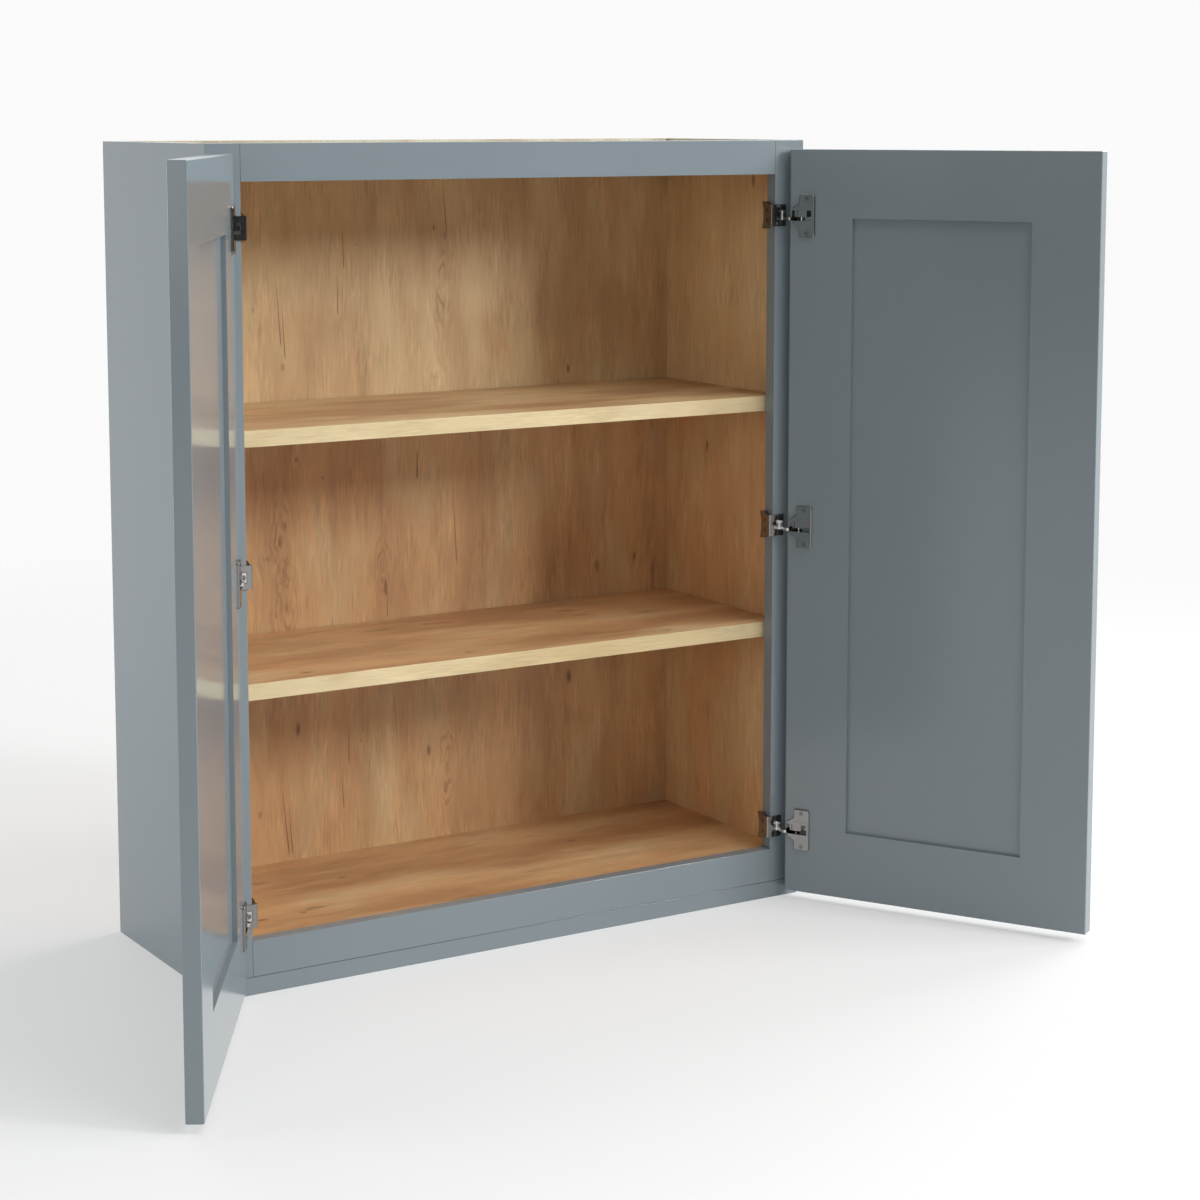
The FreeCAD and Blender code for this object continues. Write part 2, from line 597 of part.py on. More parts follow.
def hinge_bracket(height):
    """Flange with a window on the stile's face, and a horned leg along the stile's inner edge."""
    leg_x = OPENING_X + LEG_T
    flange_y = FRONT - FLANGE_T
    back = FRAME_BACK + LEG_BEHIND
    block, horn = BLOCK_H / 2, HORN_H / 2
    flange = box(OPENING_X - FLANGE_W, leg_x, flange_y, FRONT, height - block, height + block)
    top_side = [
        (flange_y, block, 0),
        (FRONT + HORN_START, block, 0),
        (back - HORN_LENGTH, horn, 0),
        (back, horn, 0),
        (back - HORN_NOTCH, block / 2, 0),
    ]
    outline = [(y, height + z, r) for y, z, r in top_side]
    outline += [(y, height - z, r) for y, z, r in reversed(top_side)]
    leg = prism(outline, "YZ", OPENING_X, leg_x)
    bracket = flange.fuse(leg).removeSplitter()
    bracket = eased(bracket, BRACKET_EASE, {"X": leg_x, "Y": flange_y})
    window = box(RISER_X - LINK_T / 2 - LINK_CLEAR, FOOT_X + LINK_CLEAR, flange_y - CUT_PAST,
                 FRONT + CUT_PAST, height - SLOT_H / 2, height + SLOT_H / 2)
    bracket = bracket.cut(window)
    for top in bracket_screw_tops(height):
        bracket = bracket.cut(flat_screw(top, X_AXIS, BRACKET_SCREW_L, PRESS_GAP))
    return bracket


def hinge_screws():
    """All screws of the left hinges, with the door closed: group name to a list of solids."""
    groups = {"cup_screws": [], "bracket_screws": [], "link_screws": []}
    for height in HINGE_HEIGHTS.values():
        for top in cup_screw_tops(height):
            groups["cup_screws"].append(crossed_flat_screw(top, Y_AXIS, CUP_SCREW_L))
        for top in bracket_screw_tops(height):
            groups["bracket_screws"].append(crossed_flat_screw(top, X_AXIS, BRACKET_SCREW_L))
        groups["link_screws"].append(crossed_flat_screw(link_screw_top(height), -Y_AXIS, LINK_SCREW_L))
    return groups


# The whole cabinet

def carcass_nodes():
    """Fixed panels, face frame, shelves and shelf pins: node name to shape."""
    side, stile = side_panel(), frame_stile()
    nodes = {
        "left_side_panel": side,
        "right_side_panel": mirrored(side),
        "top_panel": level_panel(TOP_PANEL_TOP, TOP_T),
        "bottom_panel": level_panel(FLOOR_TOP, BOTTOM_T),
        "back_panel": back_panel(),
        "left_frame_stile": stile,
        "right_frame_stile": mirrored(stile),
        "top_frame_rail": frame_rail(OPENING_Z1, CABINET_H),
        "bottom_frame_rail": frame_rail(STRIP_H, OPENING_Z0),
        "base_strip": base_strip(),
    }
    pins = shelf_pin_places()
    for name, top in SHELF_TOPS.items():
        nodes[name + "_shelf"] = shelf_board(top)
        nodes[name + "_shelf_band"] = shelf_band(top)
        left_pins = [shelf_pin(centre) for centre in pins[name]]
        nodes[name + "_shelf_pins"] = Part.makeCompound(left_pins + [mirrored(pin) for pin in left_pins])
    return nodes


def left_nodes():
    """The left door, swung open, and its hinges: node name, without its side, to shape."""
    nodes = {"door_" + name: swung_open(piece) for name, piece in door_pieces().items()}
    for place, height in HINGE_HEIGHTS.items():
        nodes[place + "_hinge_cup"] = swung_open(hinge_cup(height))
        nodes[place + "_hinge_pin"] = swung_open(hinge_pin(height))
        nodes[place + "_hinge_link"] = hinge_link(height)
        nodes[place + "_hinge_bracket"] = hinge_bracket(height)
    for name, screws in hinge_screws().items():
        group = Part.makeCompound(screws)
        nodes[name] = swung_open(group) if name == "cup_screws" else group
    return nodes


def all_nodes():
    """Every node of the cabinet."""
    nodes = carcass_nodes()
    for name, shape in left_nodes().items():
        nodes["left_" + name] = shape
        nodes["right_" + name] = mirrored(shape)
    return nodes


def main():
    """Writes one STEP file for each node."""
    os.makedirs("parts", exist_ok=True)
    for name, shape in all_nodes().items():
        shape.translate(Z_AXIS * (-CABINET_H / 2))
        shape.exportStep(os.path.join("parts", name + ".step"))
        print(name, len(shape.Solids), "solids", round(shape.Volume, 1), "mm3", "valid", shape.isValid())


main()
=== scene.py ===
"""Finishes and studio stage of a wall cabinet with two framed doors, laid out as a Blender add-on."""
import math

import bpy
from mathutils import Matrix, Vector


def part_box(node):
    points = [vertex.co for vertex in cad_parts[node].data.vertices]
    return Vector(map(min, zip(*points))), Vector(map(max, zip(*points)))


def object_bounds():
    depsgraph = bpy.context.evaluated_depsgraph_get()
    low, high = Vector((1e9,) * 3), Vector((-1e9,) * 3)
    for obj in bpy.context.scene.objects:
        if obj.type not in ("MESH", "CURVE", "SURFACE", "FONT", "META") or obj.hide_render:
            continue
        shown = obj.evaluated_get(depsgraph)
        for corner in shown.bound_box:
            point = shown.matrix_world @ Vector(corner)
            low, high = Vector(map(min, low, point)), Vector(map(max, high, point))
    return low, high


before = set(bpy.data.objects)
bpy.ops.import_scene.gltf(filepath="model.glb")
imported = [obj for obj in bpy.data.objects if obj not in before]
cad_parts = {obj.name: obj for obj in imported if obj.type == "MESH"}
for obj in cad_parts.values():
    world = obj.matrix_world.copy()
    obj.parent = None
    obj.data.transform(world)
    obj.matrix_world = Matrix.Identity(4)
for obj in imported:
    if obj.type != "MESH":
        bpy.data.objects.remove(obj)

bl_info = {
    "name": "Wall Cabinet Finishes",
    "version": (1, 0, 0),
    "blender": (4, 5, 0),
    "location": "View3D > Sidebar > Cabinet",
    "description": "Dresses the packed wall cabinet in paint, boards and plated steel, and sets its stage",
    "category": "Material",
}

SIDES = ("left", "right")
LEVELS = ("lower", "upper")
HINGE_PLACES = ("top", "middle", "bottom")
WHITE = (1.0, 1.0, 1.0, 1.0)

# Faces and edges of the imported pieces, in metres.
CAD_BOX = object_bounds()
FLOOR_Z = CAD_BOX[0].z
WALL_FACE = CAD_BOX[1].y
SIDE_INNER_FACE = abs(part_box("left_side_panel")[1].x)
CABINET_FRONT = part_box("top_frame_rail")[0].y
BACK_INNER_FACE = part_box("back_panel")[0].y
TOP_PANEL_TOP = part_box("top_panel")[1].z
UPPER_SHELF_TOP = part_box("upper_shelf")[1].z
OPENING_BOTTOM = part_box("bottom_frame_rail")[1].z
OPENING_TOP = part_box("top_frame_rail")[0].z
RAIL_END = abs(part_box("left_frame_stile")[1].x)
STRIP_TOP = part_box("base_strip")[1].z
BOTTOM_RAIL_MIDDLE = 0.5 * (OPENING_BOTTOM + STRIP_TOP)
BOTTOM_RAIL_HALF = 0.5 * (OPENING_BOTTOM - STRIP_TOP)

# Axes of the cabinet, and of a board's figure.
SIDEWAYS = (1.0, 0.0, 0.0)
INWARD = (0.0, 1.0, 0.0)
UPWARD = (0.0, 0.0, 1.0)
ACROSS_GRAIN = (1.0, 0.0, 0.0)
ALONG_GRAIN = (0.0, 1.0, 0.0)

# Columns of nodes in a node tree, and the step to the next column and row.
NODE_COLUMNS = 12
NODE_STEP = (200, -260)
# The Mix node's sockets for its share, its two values and two colours, and what it puts out of each kind.
MIX_SHARE = 0
MIX_VALUES = (2, 3)
MIX_COLOURS = (6, 7)
MIXED_VALUE = 0
MIXED_COLOUR = 2

# How far past a face its finish reaches. The frame's seams: half width, core, shade and its share on joints.
FACE_DEPTH = 0.0004
SEAM_HALF_WIDTH = 0.0008
SEAM_CORE = 0.3 * SEAM_HALF_WIDTH
SEAM_SHADE = 0.48
JOINT_STRENGTH = 0.4
# Gloss of paint, faced wood and raw wood, the raw wood's tint, and the height of each finish's relief.
PAINT_SPECULAR = 0.65
WOOD_SPECULAR = 0.5
RAW_SPECULAR = 0.0
RAW_TINT = (0.75, 1.0, 1.40, 1.0)
WOOD_RELIEF = 0.00012
SIDE_RELIEF = 0.00004
STEEL_RELIEF = 0.0000010

# Noise: waves to a metre along each axis, then the number of finer layers and how much each of them adds.
# A board's axes run across the grain, along it and through the board. The peel has its waves as a setting.
WANDER = ((3.0, 1.6, 9.0), 2.0, 0.5)
BANDS = ((14.0, 3.2, 7.0), 4.0, 0.55)
PATCHES = ((16.0, 7.0, 7.0), 3.0, 0.5)
STREAKS = ((80.0, 9.5, 30.0), 3.0, 0.6)
HAIRS = ((400.0, 28.0, 90.0), 3.0, 0.65)
PORES = ((330.0, 36.0, 60.0), 1.0, 0.5)
CLUSTERS = ((24.0, 13.0, 5.0), 2.0, 0.5)
RIDGES = ((700.0, 14.0, 90.0), 2.0, 0.6)
KNOT_WOBBLE = ((130.0, 34.0, 0.0), 2.0, 0.5)
RING_BREAKS = ((95.0, 30.0, 1.0), 1.0, 0.5)
PAINT_MOTTLE = ((5.0, 5.0, 3.5), 2.0, 0.5)
PAINT_GRIT = ((2600.0, 2600.0, 2600.0), 1.0, 0.5)
PAINT_PEEL = (2.0, 0.55)
PLATING_CLOUD = ((160.0, 160.0, 160.0), 3.0, 0.6)
DRAW_LINES = ((900.0, 900.0, 6000.0), 2.0, 0.5)
NOISE_MIDDLE = 0.5
# Where each pattern starts and ends, and for the clusters of fibres also their least and greatest strength.
BAND_EDGE = (0.36, 0.68)
PATCH_EDGE = (0.85, 1.15)
PORE_EDGE = (0.60, 0.80)
CLUSTER_RANGE = (0.36, 0.64, 0.40, 1.50)
RING_BREAK_EDGE = (0.36, 0.62)

# Wood: reach of the grain's wander, shares of hairs and streaks, strength of darker marks, and roughness.
WANDER_REACH = 0.035
HAIR_SHARE = 0.62
STREAK_SHARE = 0.38
PORE_STRENGTH = 0.24
HALO_STRENGTH = 0.12
RING_DARKNESS = 0.35
SMALL_MARK_STRENGTH = 0.7
MARK_STRENGTH = 0.72
WOOD_ROUGHNESS = 0.36
FIBRE_ROUGHNESS = 0.22
# Share of warm patches, its fall above the upper shelf and the height of that change.
ROSY_SHARE = 0.58
ROSY_FALL = 0.24
ROSY_CHANGE = 0.02
# Strength of the dark bands on level boards, on the back and on the sides.
LEVEL_BANDS = 0.90
BACK_BANDS = 0.58
SIDE_BANDS = 0.36

# Placed knots, in girths: where core, rings and parted grain start and end, the rings' wave in radians to a
# girth, the part of that wave that shows, the outline's wobble, range and least, and the grain's parting.
KNOT_CORE = (1.3, 0.2)
KNOT_RINGS = (5.2, 0.9)
KNOT_PART = (5.5, 0.5)
RING_TURNS = 5.2
RING_CREST = (-0.3, 1.0)
WOBBLE_RANGE = (2.8, -1.4)
GRAIN_PARTING = -0.7
# Placed cracks: their taper from end to end, and where their ends and sides fade.
CRACK_TAPER = (1.0, -0.7, 0.3, 1.0)
CRACK_END = (1.0, 0.7)
CRACK_SIDE = (1.3, 0.3)
# Scattered small knots and cracks: cell, shift of the cells with depth, spread, size and fading, then the
# least girth of a knot, and the range and the least of a crack's depth.
SMALL_KNOT_CELL = (0.095, 0.26)
SMALL_KNOT_SHIFT = (29.7, 17.3)
SMALL_KNOT_SPREAD = 0.95
SMALL_KNOT_SIZE = (0.0022, 0.0055)
SMALL_KNOT_CORE = (1.6, 0.2)
SMALL_KNOT_HALO = (7.0, 0.8)
SMALLEST_GIRTH = 0.45
SMALL_CRACK_CELL = (0.070, 0.15)
SMALL_CRACK_SHIFT = (43.1, 23.9)
SMALL_CRACK_SPREAD = 1.0
SMALL_CRACK_SIZE = (0.0010, 0.018)
SMALL_CRACK_EDGE = (1.0, 0.2)
SMALL_CRACK_DEPTH = (0.6, 0.2)
# Figure of the shelves' edge bands.
EDGE_BAND_FIGURE = {"Rosy share": 0.4, "Knot share": 0.05, "Crack share": 0.45, "Band strength": 0.7,
                    "Fibre strength": 0.6}

# Paint and plating: shares of a broad and a fine pattern in tint and roughness, and the level they add to.
PAINT_TINT = (0.05, 0.01, 0.97)
PAINT_SPREAD = (0.06, 0.04, -0.05)
PLATING_TINT = (0.16, 0.06, 0.89)
PLATING_SPREAD = (0.10, 0.04, -0.07)

# Stage: the floor's corners, roughness and solid share of its radius, where the studio's dim front ends
# toward the back and downwards, and the camera's sensor in millimetres and its tilt when it looks level.
FLOOR_CORNERS = 128
FLOOR_ROUGHNESS = 0.9
FLOOR_SOLID_SHARE = 0.3
BEHIND_EDGE = (-0.15, 0.35)
BELOW_EDGE = (-0.05, -0.13)
SENSOR_WIDTH = 36.0
LEVEL_TILT = math.radians(90.0)

# Softboxes: name, azimuth to the right of the front and elevation in degrees, width and height, power.
SOFTBOXES = (
    ("Key softbox", 38.0, 22.0, 0.8, 1.0, 108.0),
    ("Wide softbox", 40.0, 24.0, 1.4, 1.6, 32.0),
    ("Side softbox", 60.0, 24.0, 1.6, 1.6, 76.0),
    ("Right softbox", 102.0, 32.0, 2.5, 2.5, 120.0),
    ("Back softbox", 180.0, 40.0, 3.0, 3.0, 50.0),
    ("Left softbox", -117.0, 6.0, 3.0, 2.4, 114.0),
    ("Front softbox", -50.0, 15.0, 2.0, 2.5, 32.0),
    ("High softbox", 15.0, 45.0, 1.6, 1.6, 36.0),
    ("Upper softbox", 0.0, 60.0, 3.0, 3.0, 44.0),
    ("Top softbox", 0.0, 89.0, 4.0, 4.0, 50.0),
)
# Knots of the back board: place across and up, girth, stretch along the grain, strengths of core and rings.
BACK_KNOTS = (
    (-0.1750, -0.0110, 0.0044, 3.6, 0.45, 0.75),
    (-0.1930, -0.0330, 0.0050, 0.8, 0.40, 0.00),
    (-0.1735, -0.0470, 0.0036, 3.0, 0.22, 0.60),
    (-0.1690, -0.0950, 0.0046, 3.4, 0.36, 0.75),
    (-0.0380, -0.0837, 0.0030, 2.8, 0.80, 0.30),
    (-0.0415, -0.0542, 0.0040, 3.0, 0.10, 0.50),
    (0.0435, 0.2817, 0.0036, 4.4, 0.25, 0.60),
    (0.0449, -0.3170, 0.0036, 4.4, 0.25, 0.60),
    (-0.1538, 0.0825, 0.0024, 1.3, 0.70, 0.00),
    (-0.1197, 0.0585, 0.0018, 1.2, 0.65, 0.00),
    (-0.2063, 0.2614, 0.0028, 1.8, 0.45, 0.00),
    (-0.1695, 0.1931, 0.0026, 1.8, 0.52, 0.12),
    (0.0477, 0.3420, 0.0026, 2.4, 0.50, 0.00),
    (0.0324, 0.1703, 0.0060, 1.1, 0.26, 0.10),
    (-0.0725, 0.3338, 0.0015, 1.5, 0.55, 0.00),
    (-0.0725, -0.2667, 0.0015, 1.5, 0.55, 0.00),
    (-0.2069, -0.3399, 0.0024, 1.8, 0.45, 0.00),
    (0.2634, -0.0818, 0.0044, 2.0, 0.58, 0.12),
    (0.3462, -0.1009, 0.0034, 8.0, 0.40, 0.00),
)
# Soft stains along the back board's knots: place across and up, girth, stretch along the grain, strength.
BACK_STAINS = (
    (-0.1750, -0.0500, 0.0150, 6.0, 0.17),
    (-0.0400, -0.0400, 0.0100, 7.0, 0.10),
    (-0.1720, 0.2300, 0.0100, 6.0, 0.11),
    (0.0450, 0.2900, 0.0130, 6.0, 0.12),
)
# Knots of the lower shelf and of the bottom panel, whose grain runs across the cabinet, in the same order.
LOWER_SHELF_KNOTS = (
    (-0.0786, 0.1758, 0.0085, 2.2, 0.60, 0.00),
    (-0.1120, 0.1843, 0.0075, 2.0, 0.55, 0.00),
    (-0.1337, 0.2550, 0.0085, 2.2, 0.55, 0.00),
    (-0.0679, 0.0037, 0.0080, 2.6, 0.60, 0.00),
    (-0.0706, -0.0773, 0.0090, 2.4, 0.60, 0.00),
)
BOTTOM_KNOTS = (
    (-0.2001, -0.2262, 0.0080, 2.0, 0.55, 0.00),
    (-0.0815, -0.2401, 0.0070, 2.0, 0.50, 0.00),
)
# Hairline cracks of the back board: place across and up, half length, half width and lean.
BACK_CRACKS = (
    (-0.1740, 0.2540, 0.042, 0.0010, -0.075),
    (-0.1680, 0.2340, 0.036, 0.0010, -0.050),
    (-0.0895, 0.3290, 0.026, 0.0008, -0.030),
    (-0.0975, 0.2750, 0.026, 0.0008, -0.015),
    (0.0470, 0.3770, 0.036, 0.0009, -0.085),
    (-0.1740, -0.3530, 0.046, 0.0010, -0.095),
    (-0.1675, -0.3650, 0.033, 0.0010, -0.070),
    (-0.0895, -0.2690, 0.026, 0.0008, -0.020),
    (-0.0980, -0.3270, 0.023, 0.0008, -0.060),
    (0.0588, -0.0244, 0.040, 0.0008, -0.045),
    (-0.0354, -0.1040, 0.016, 0.0007, 0.000),
    (0.0069, 0.0663, 0.020, 0.0014, 0.010),
)


class PaintFinish(bpy.types.PropertyGroup):
    """Sprayed paint on the frame, the doors and the outside of the sides."""

    colour: bpy.props.FloatVectorProperty(
        name="Colour", description="Blue-grey of the paint", subtype="COLOR", size=4,
        min=0.0, max=1.0, default=(0.205, 0.246, 0.267, 1.0))
    roughness: bpy.props.FloatProperty(
        name="Roughness", description="Middle roughness of the satin paint", subtype="FACTOR",
        min=0.0, max=1.0, default=0.15)
    peel_size: bpy.props.FloatProperty(
        name="Peel size", description="Distance between the ripples that spraying leaves", unit="LENGTH",
        min=0.0005, max=0.02, default=0.0018)
    peel_depth: bpy.props.FloatProperty(
        name="Peel depth", description="Depth of the ripples that spraying leaves", unit="LENGTH",
        min=0.0, max=0.001, default=0.000002, precision=6)


class InteriorBoards(bpy.types.PropertyGroup):
    """Wood-faced boards inside the cabinet."""

    pale: bpy.props.FloatVectorProperty(
        name="Pale wood", description="Colour of the lightest bands", subtype="COLOR", size=4,
        min=0.0, max=1.0, default=(0.684, 0.505, 0.276, 1.0))
    dark: bpy.props.FloatVectorProperty(
        name="Dark wood", description="Colour of the darker bands", subtype="COLOR", size=4,
        min=0.0, max=1.0, default=(0.432, 0.222, 0.100, 1.0))
    rosy: bpy.props.FloatVectorProperty(
        name="Rosy wood", description="Colour of the warm patches", subtype="COLOR", size=4,
        min=0.0, max=1.0, default=(0.668, 0.407, 0.197, 1.0))
    knot: bpy.props.FloatVectorProperty(
        name="Knots", description="Colour of knots and hairline cracks", subtype="COLOR", size=4,
        min=0.0, max=1.0, default=(0.120, 0.050, 0.020, 1.0))
    knot_share: bpy.props.FloatProperty(
        name="Knot share", description="Share of the places for a knot that have one", subtype="FACTOR",
        min=0.0, max=1.0, default=0.30)
    crack_share: bpy.props.FloatProperty(
        name="Crack share", description="Share of the places for a crack that have one", subtype="FACTOR",
        min=0.0, max=1.0, default=0.22)


class ShelfEdgeBand(bpy.types.PropertyGroup):
    """Light wood banding on the shelves' front edges."""

    pale: bpy.props.FloatVectorProperty(
        name="Pale wood", description="Colour of the lightest fibres", subtype="COLOR", size=4,
        min=0.0, max=1.0, default=(0.718, 0.580, 0.344, 1.0))
    dark: bpy.props.FloatVectorProperty(
        name="Dark wood", description="Colour of the darker fibres", subtype="COLOR", size=4,
        min=0.0, max=1.0, default=(0.565, 0.422, 0.215, 1.0))
    streak: bpy.props.FloatVectorProperty(
        name="Streaks", description="Colour of the dark streaks", subtype="COLOR", size=4,
        min=0.0, max=1.0, default=(0.270, 0.150, 0.070, 1.0))


class HingeSteel(bpy.types.PropertyGroup):
    """Plated steel of the hinges and shelf pins, and the darker screws."""

    nickel: bpy.props.FloatVectorProperty(
        name="Nickel", description="Colour of the hinges' links and pins", subtype="COLOR", size=4,
        min=0.0, max=1.0, default=(0.600, 0.590, 0.575, 1.0))
    pressing: bpy.props.FloatVectorProperty(
        name="Pressed plates", description="Colour of the hinges' cups and brackets", subtype="COLOR",
        size=4, min=0.0, max=1.0, default=(0.290, 0.282, 0.276, 1.0))
    zinc: bpy.props.FloatVectorProperty(
        name="Zinc", description="Colour of the screws", subtype="COLOR", size=4,
        min=0.0, max=1.0, default=(0.220, 0.215, 0.210, 1.0))
    roughness: bpy.props.FloatProperty(
        name="Roughness", description="Middle roughness of the plating", subtype="FACTOR",
        min=0.0, max=1.0, default=0.10)


class StudioStage(bpy.types.PropertyGroup):
    """Floor, lamps and camera of the studio."""

    floor_colour: bpy.props.FloatVectorProperty(
        name="Floor", description="Colour of the floor", subtype="COLOR", size=4,
        min=0.0, max=1.0, default=(0.74, 0.74, 0.74, 1.0))
    floor_radius: bpy.props.FloatProperty(
        name="Floor radius", description="Distance at which the floor has faded into the background",
        unit="LENGTH", min=1.0, max=20.0, default=2.8)
    background: bpy.props.FloatProperty(
        name="Background", description="Brightness of the background, where 1 is white", min=0.0, max=1.0,
        default=0.96)
    floor_glow: bpy.props.FloatProperty(
        name="Floor glow", description="Share of white that lightens the shadows on the floor",
        subtype="FACTOR", min=0.0, max=1.0, default=0.36)
    front_share: bpy.props.FloatProperty(
        name="Front share", subtype="FACTOR", min=0.0, max=1.0, default=0.04,
        description="Share of the background that reflections of the studio's front show")
    ambient: bpy.props.FloatProperty(
        name="Ambient", description="Level of the light from all round", min=0.0, max=2.0, default=0.165)
    lamp_level: bpy.props.FloatProperty(
        name="Lamp level", description="Factor on the power of all the softboxes", min=0.0, max=4.0,
        default=1.0)
    lamp_distance: bpy.props.FloatProperty(
        name="Lamp distance", description="Distance of the softboxes from the cabinet's front",
        unit="LENGTH", min=2.0, max=20.0, default=5.0)
    camera_lens: bpy.props.FloatProperty(
        name="Lens", description="Focal length of the camera in millimetres", min=10.0, max=300.0,
        default=78.786)
    camera_place: bpy.props.FloatVectorProperty(
        name="Camera place", description="Where the camera stands", subtype="TRANSLATION", unit="LENGTH",
        size=3, default=(-1.4635, -2.8160, 0.4851))
    camera_yaw: bpy.props.FloatProperty(
        name="Yaw", description="How far the camera turns to the right", subtype="ANGLE",
        default=math.radians(31.690))
    camera_pitch: bpy.props.FloatProperty(
        name="Pitch", description="How far the camera looks down", subtype="ANGLE",
        default=math.radians(6.859))
    camera_shift: bpy.props.FloatProperty(
        name="Shift", description="Vertical shift of the camera's view", default=-0.14)


class Graph:
    """Places shader nodes in one node tree and links their sockets."""

    def __init__(self, tree):
        self.tree = tree
        self.count = 0

    def add(self, kind, inputs=None, **settings):
        """A node with its settings and, for each input, a value or the socket that feeds it."""
        node = self.tree.nodes.new(kind)
        row, column = divmod(self.count, NODE_COLUMNS)
        node.location = (NODE_STEP[0] * column, NODE_STEP[1] * row)
        self.count += 1
        for key, value in settings.items():
            setattr(node, key, value)
        for key, value in (inputs or {}).items():
            self.feed(node.inputs[key], value)
        return node

    def feed(self, socket, value):
        """Links value to the socket where it is a socket itself, and otherwise sets it."""
        if isinstance(value, bpy.types.NodeSocket):
            self.tree.links.new(value, socket)
        else:
            socket.default_value = value

    def math(self, operation, first, second=0.0, third=0.0):
        """One Math node's result."""
        node = self.add("ShaderNodeMath", {0: first, 1: second, 2: third}, operation=operation)
        return node.outputs[0]

    def times(self, vector, scale):
        """A vector scaled by its own amount along each axis."""
        node = self.add("ShaderNodeVectorMath", {0: vector, 1: scale}, operation="MULTIPLY")
        return node.outputs["Vector"]

    def minus(self, vector, other):
        """One vector less another."""
        node = self.add("ShaderNodeVectorMath", {0: vector, 1: other}, operation="SUBTRACT")
        return node.outputs["Vector"]

    def length(self, vector):
        """A vector's length."""
        return self.add("ShaderNodeVectorMath", {0: vector}, operation="LENGTH").outputs["Value"]

    def measure(self, vector, axis):
        """How far a vector reaches along an axis."""
        node = self.add("ShaderNodeVectorMath", {0: vector, 1: axis}, operation="DOT_PRODUCT")
        return node.outputs["Value"]

    def split(self, vector):
        """A vector's three parts."""
        return self.add("ShaderNodeSeparateXYZ", {0: vector}).outputs

    def join(self, x, y, z):
        """A vector from its three parts."""
        return self.add("ShaderNodeCombineXYZ", {0: x, 1: y, 2: z}).outputs[0]

    def noise(self, vector, layers, roughness):
        """Noise of about one wave for each unit of the vector."""
        inputs = {"Vector": vector, "Scale": 1.0, "Detail": layers, "Roughness": roughness}
        return self.add("ShaderNodeTexNoise", inputs).outputs[0]

    def pattern(self, vector, waves, layers, roughness):
        """Noise with its own number of waves along each axis."""
        return self.noise(self.times(vector, waves), layers, roughness)

    def fade(self, value, start, end, low=0.0, high=1.0):
        """Goes smoothly from low to high as value goes from start to end."""
        inputs = {"Value": value, "From Min": start, "From Max": end, "To Min": low, "To Max": high}
        return self.add("ShaderNodeMapRange", inputs, interpolation_type="SMOOTHSTEP").outputs[0]

    def mix(self, share, first, second, blend_type="MIX"):
        """One colour blended into another."""
        inputs = {MIX_SHARE: share, MIX_COLOURS[0]: first, MIX_COLOURS[1]: second}
        node = self.add("ShaderNodeMix", inputs, data_type="RGBA", blend_type=blend_type)
        return node.outputs[MIXED_COLOUR]

    def shade(self, colour, amount):
        """A colour made lighter or darker by a factor."""
        return self.mix(1.0, colour, self.join(amount, amount, amount), "MULTIPLY")

    def blend(self, share, first, second):
        """One value blended into another."""
        inputs = {MIX_SHARE: share, MIX_VALUES[0]: first, MIX_VALUES[1]: second}
        return self.add("ShaderNodeMix", inputs, data_type="FLOAT").outputs[MIXED_VALUE]

    def vary(self, broad, fine, broad_share, fine_share, level):
        """A level with shares of a broad and a fine pattern added."""
        varied = self.math("MULTIPLY_ADD", fine, fine_share, level)
        return self.math("MULTIPLY_ADD", broad, broad_share, varied)


def sockets(kind, *names):
    """A node group's sockets of one kind."""
    return [(name, "NodeSocket" + kind) for name in names]


def finish_outputs():
    """The sockets that every node group of a finish puts out."""
    return sockets("Color", "Colour") + sockets("Float", "Roughness", "Height")


def start_group(name, inputs, outputs):
    """A new node group's graph, its input sockets by name and the node that takes its outputs."""
    tree = bpy.data.node_groups.new(name, "ShaderNodeTree")
    for socket_name, kind in inputs:
        tree.interface.new_socket(name=socket_name, in_out="INPUT", socket_type=kind)
    for socket_name, kind in outputs:
        tree.interface.new_socket(name=socket_name, in_out="OUTPUT", socket_type=kind)
    graph = Graph(tree)
    given = graph.add("NodeGroupInput").outputs
    result = graph.add("NodeGroupOutput")
    return graph, given, result


def end_group(graph, result, values):
    """Feeds the group's outputs."""
    for socket_name, socket in values.items():
        graph.feed(result.inputs[socket_name], socket)
    return graph.tree


def per_metre(width, length):
    """Factors that measure a board in a mark's width across the grain and its length along it."""
    return (1.0 / width, 1.0 / length, 0.0)


def knot_group():
    """A knot in board space: its core, the rings around it and how far the grain parts for it."""
    name = "Knot"
    if name in bpy.data.node_groups:
        return bpy.data.node_groups[name]
    inputs = sockets("Vector", "Board", "Centre", "Scale")
    inputs += sockets("Float", "Wobble", "Core strength", "Ring strength")
    graph, given, result = start_group(name, inputs, sockets("Float", "Core", "Rings", "Part"))
    off = graph.minus(given["Board"], given["Centre"])
    even_reach = graph.length(graph.times(off, given["Scale"]))
    reach = graph.math("ADD", even_reach, given["Wobble"])
    core = graph.math("MULTIPLY", graph.fade(reach, *KNOT_CORE), given["Core strength"])
    wave = graph.fade(graph.math("SINE", graph.math("MULTIPLY", reach, RING_TURNS)), *RING_CREST)
    near = graph.math("MULTIPLY", graph.fade(reach, *KNOT_RINGS), given["Ring strength"])
    rings = graph.math("MULTIPLY", wave, near)
    sideways = graph.math("MULTIPLY", graph.measure(off, ACROSS_GRAIN), GRAIN_PARTING)
    part = graph.math("MULTIPLY", sideways, graph.fade(even_reach, *KNOT_PART))
    return end_group(graph, result, {"Core": core, "Rings": rings, "Part": part})


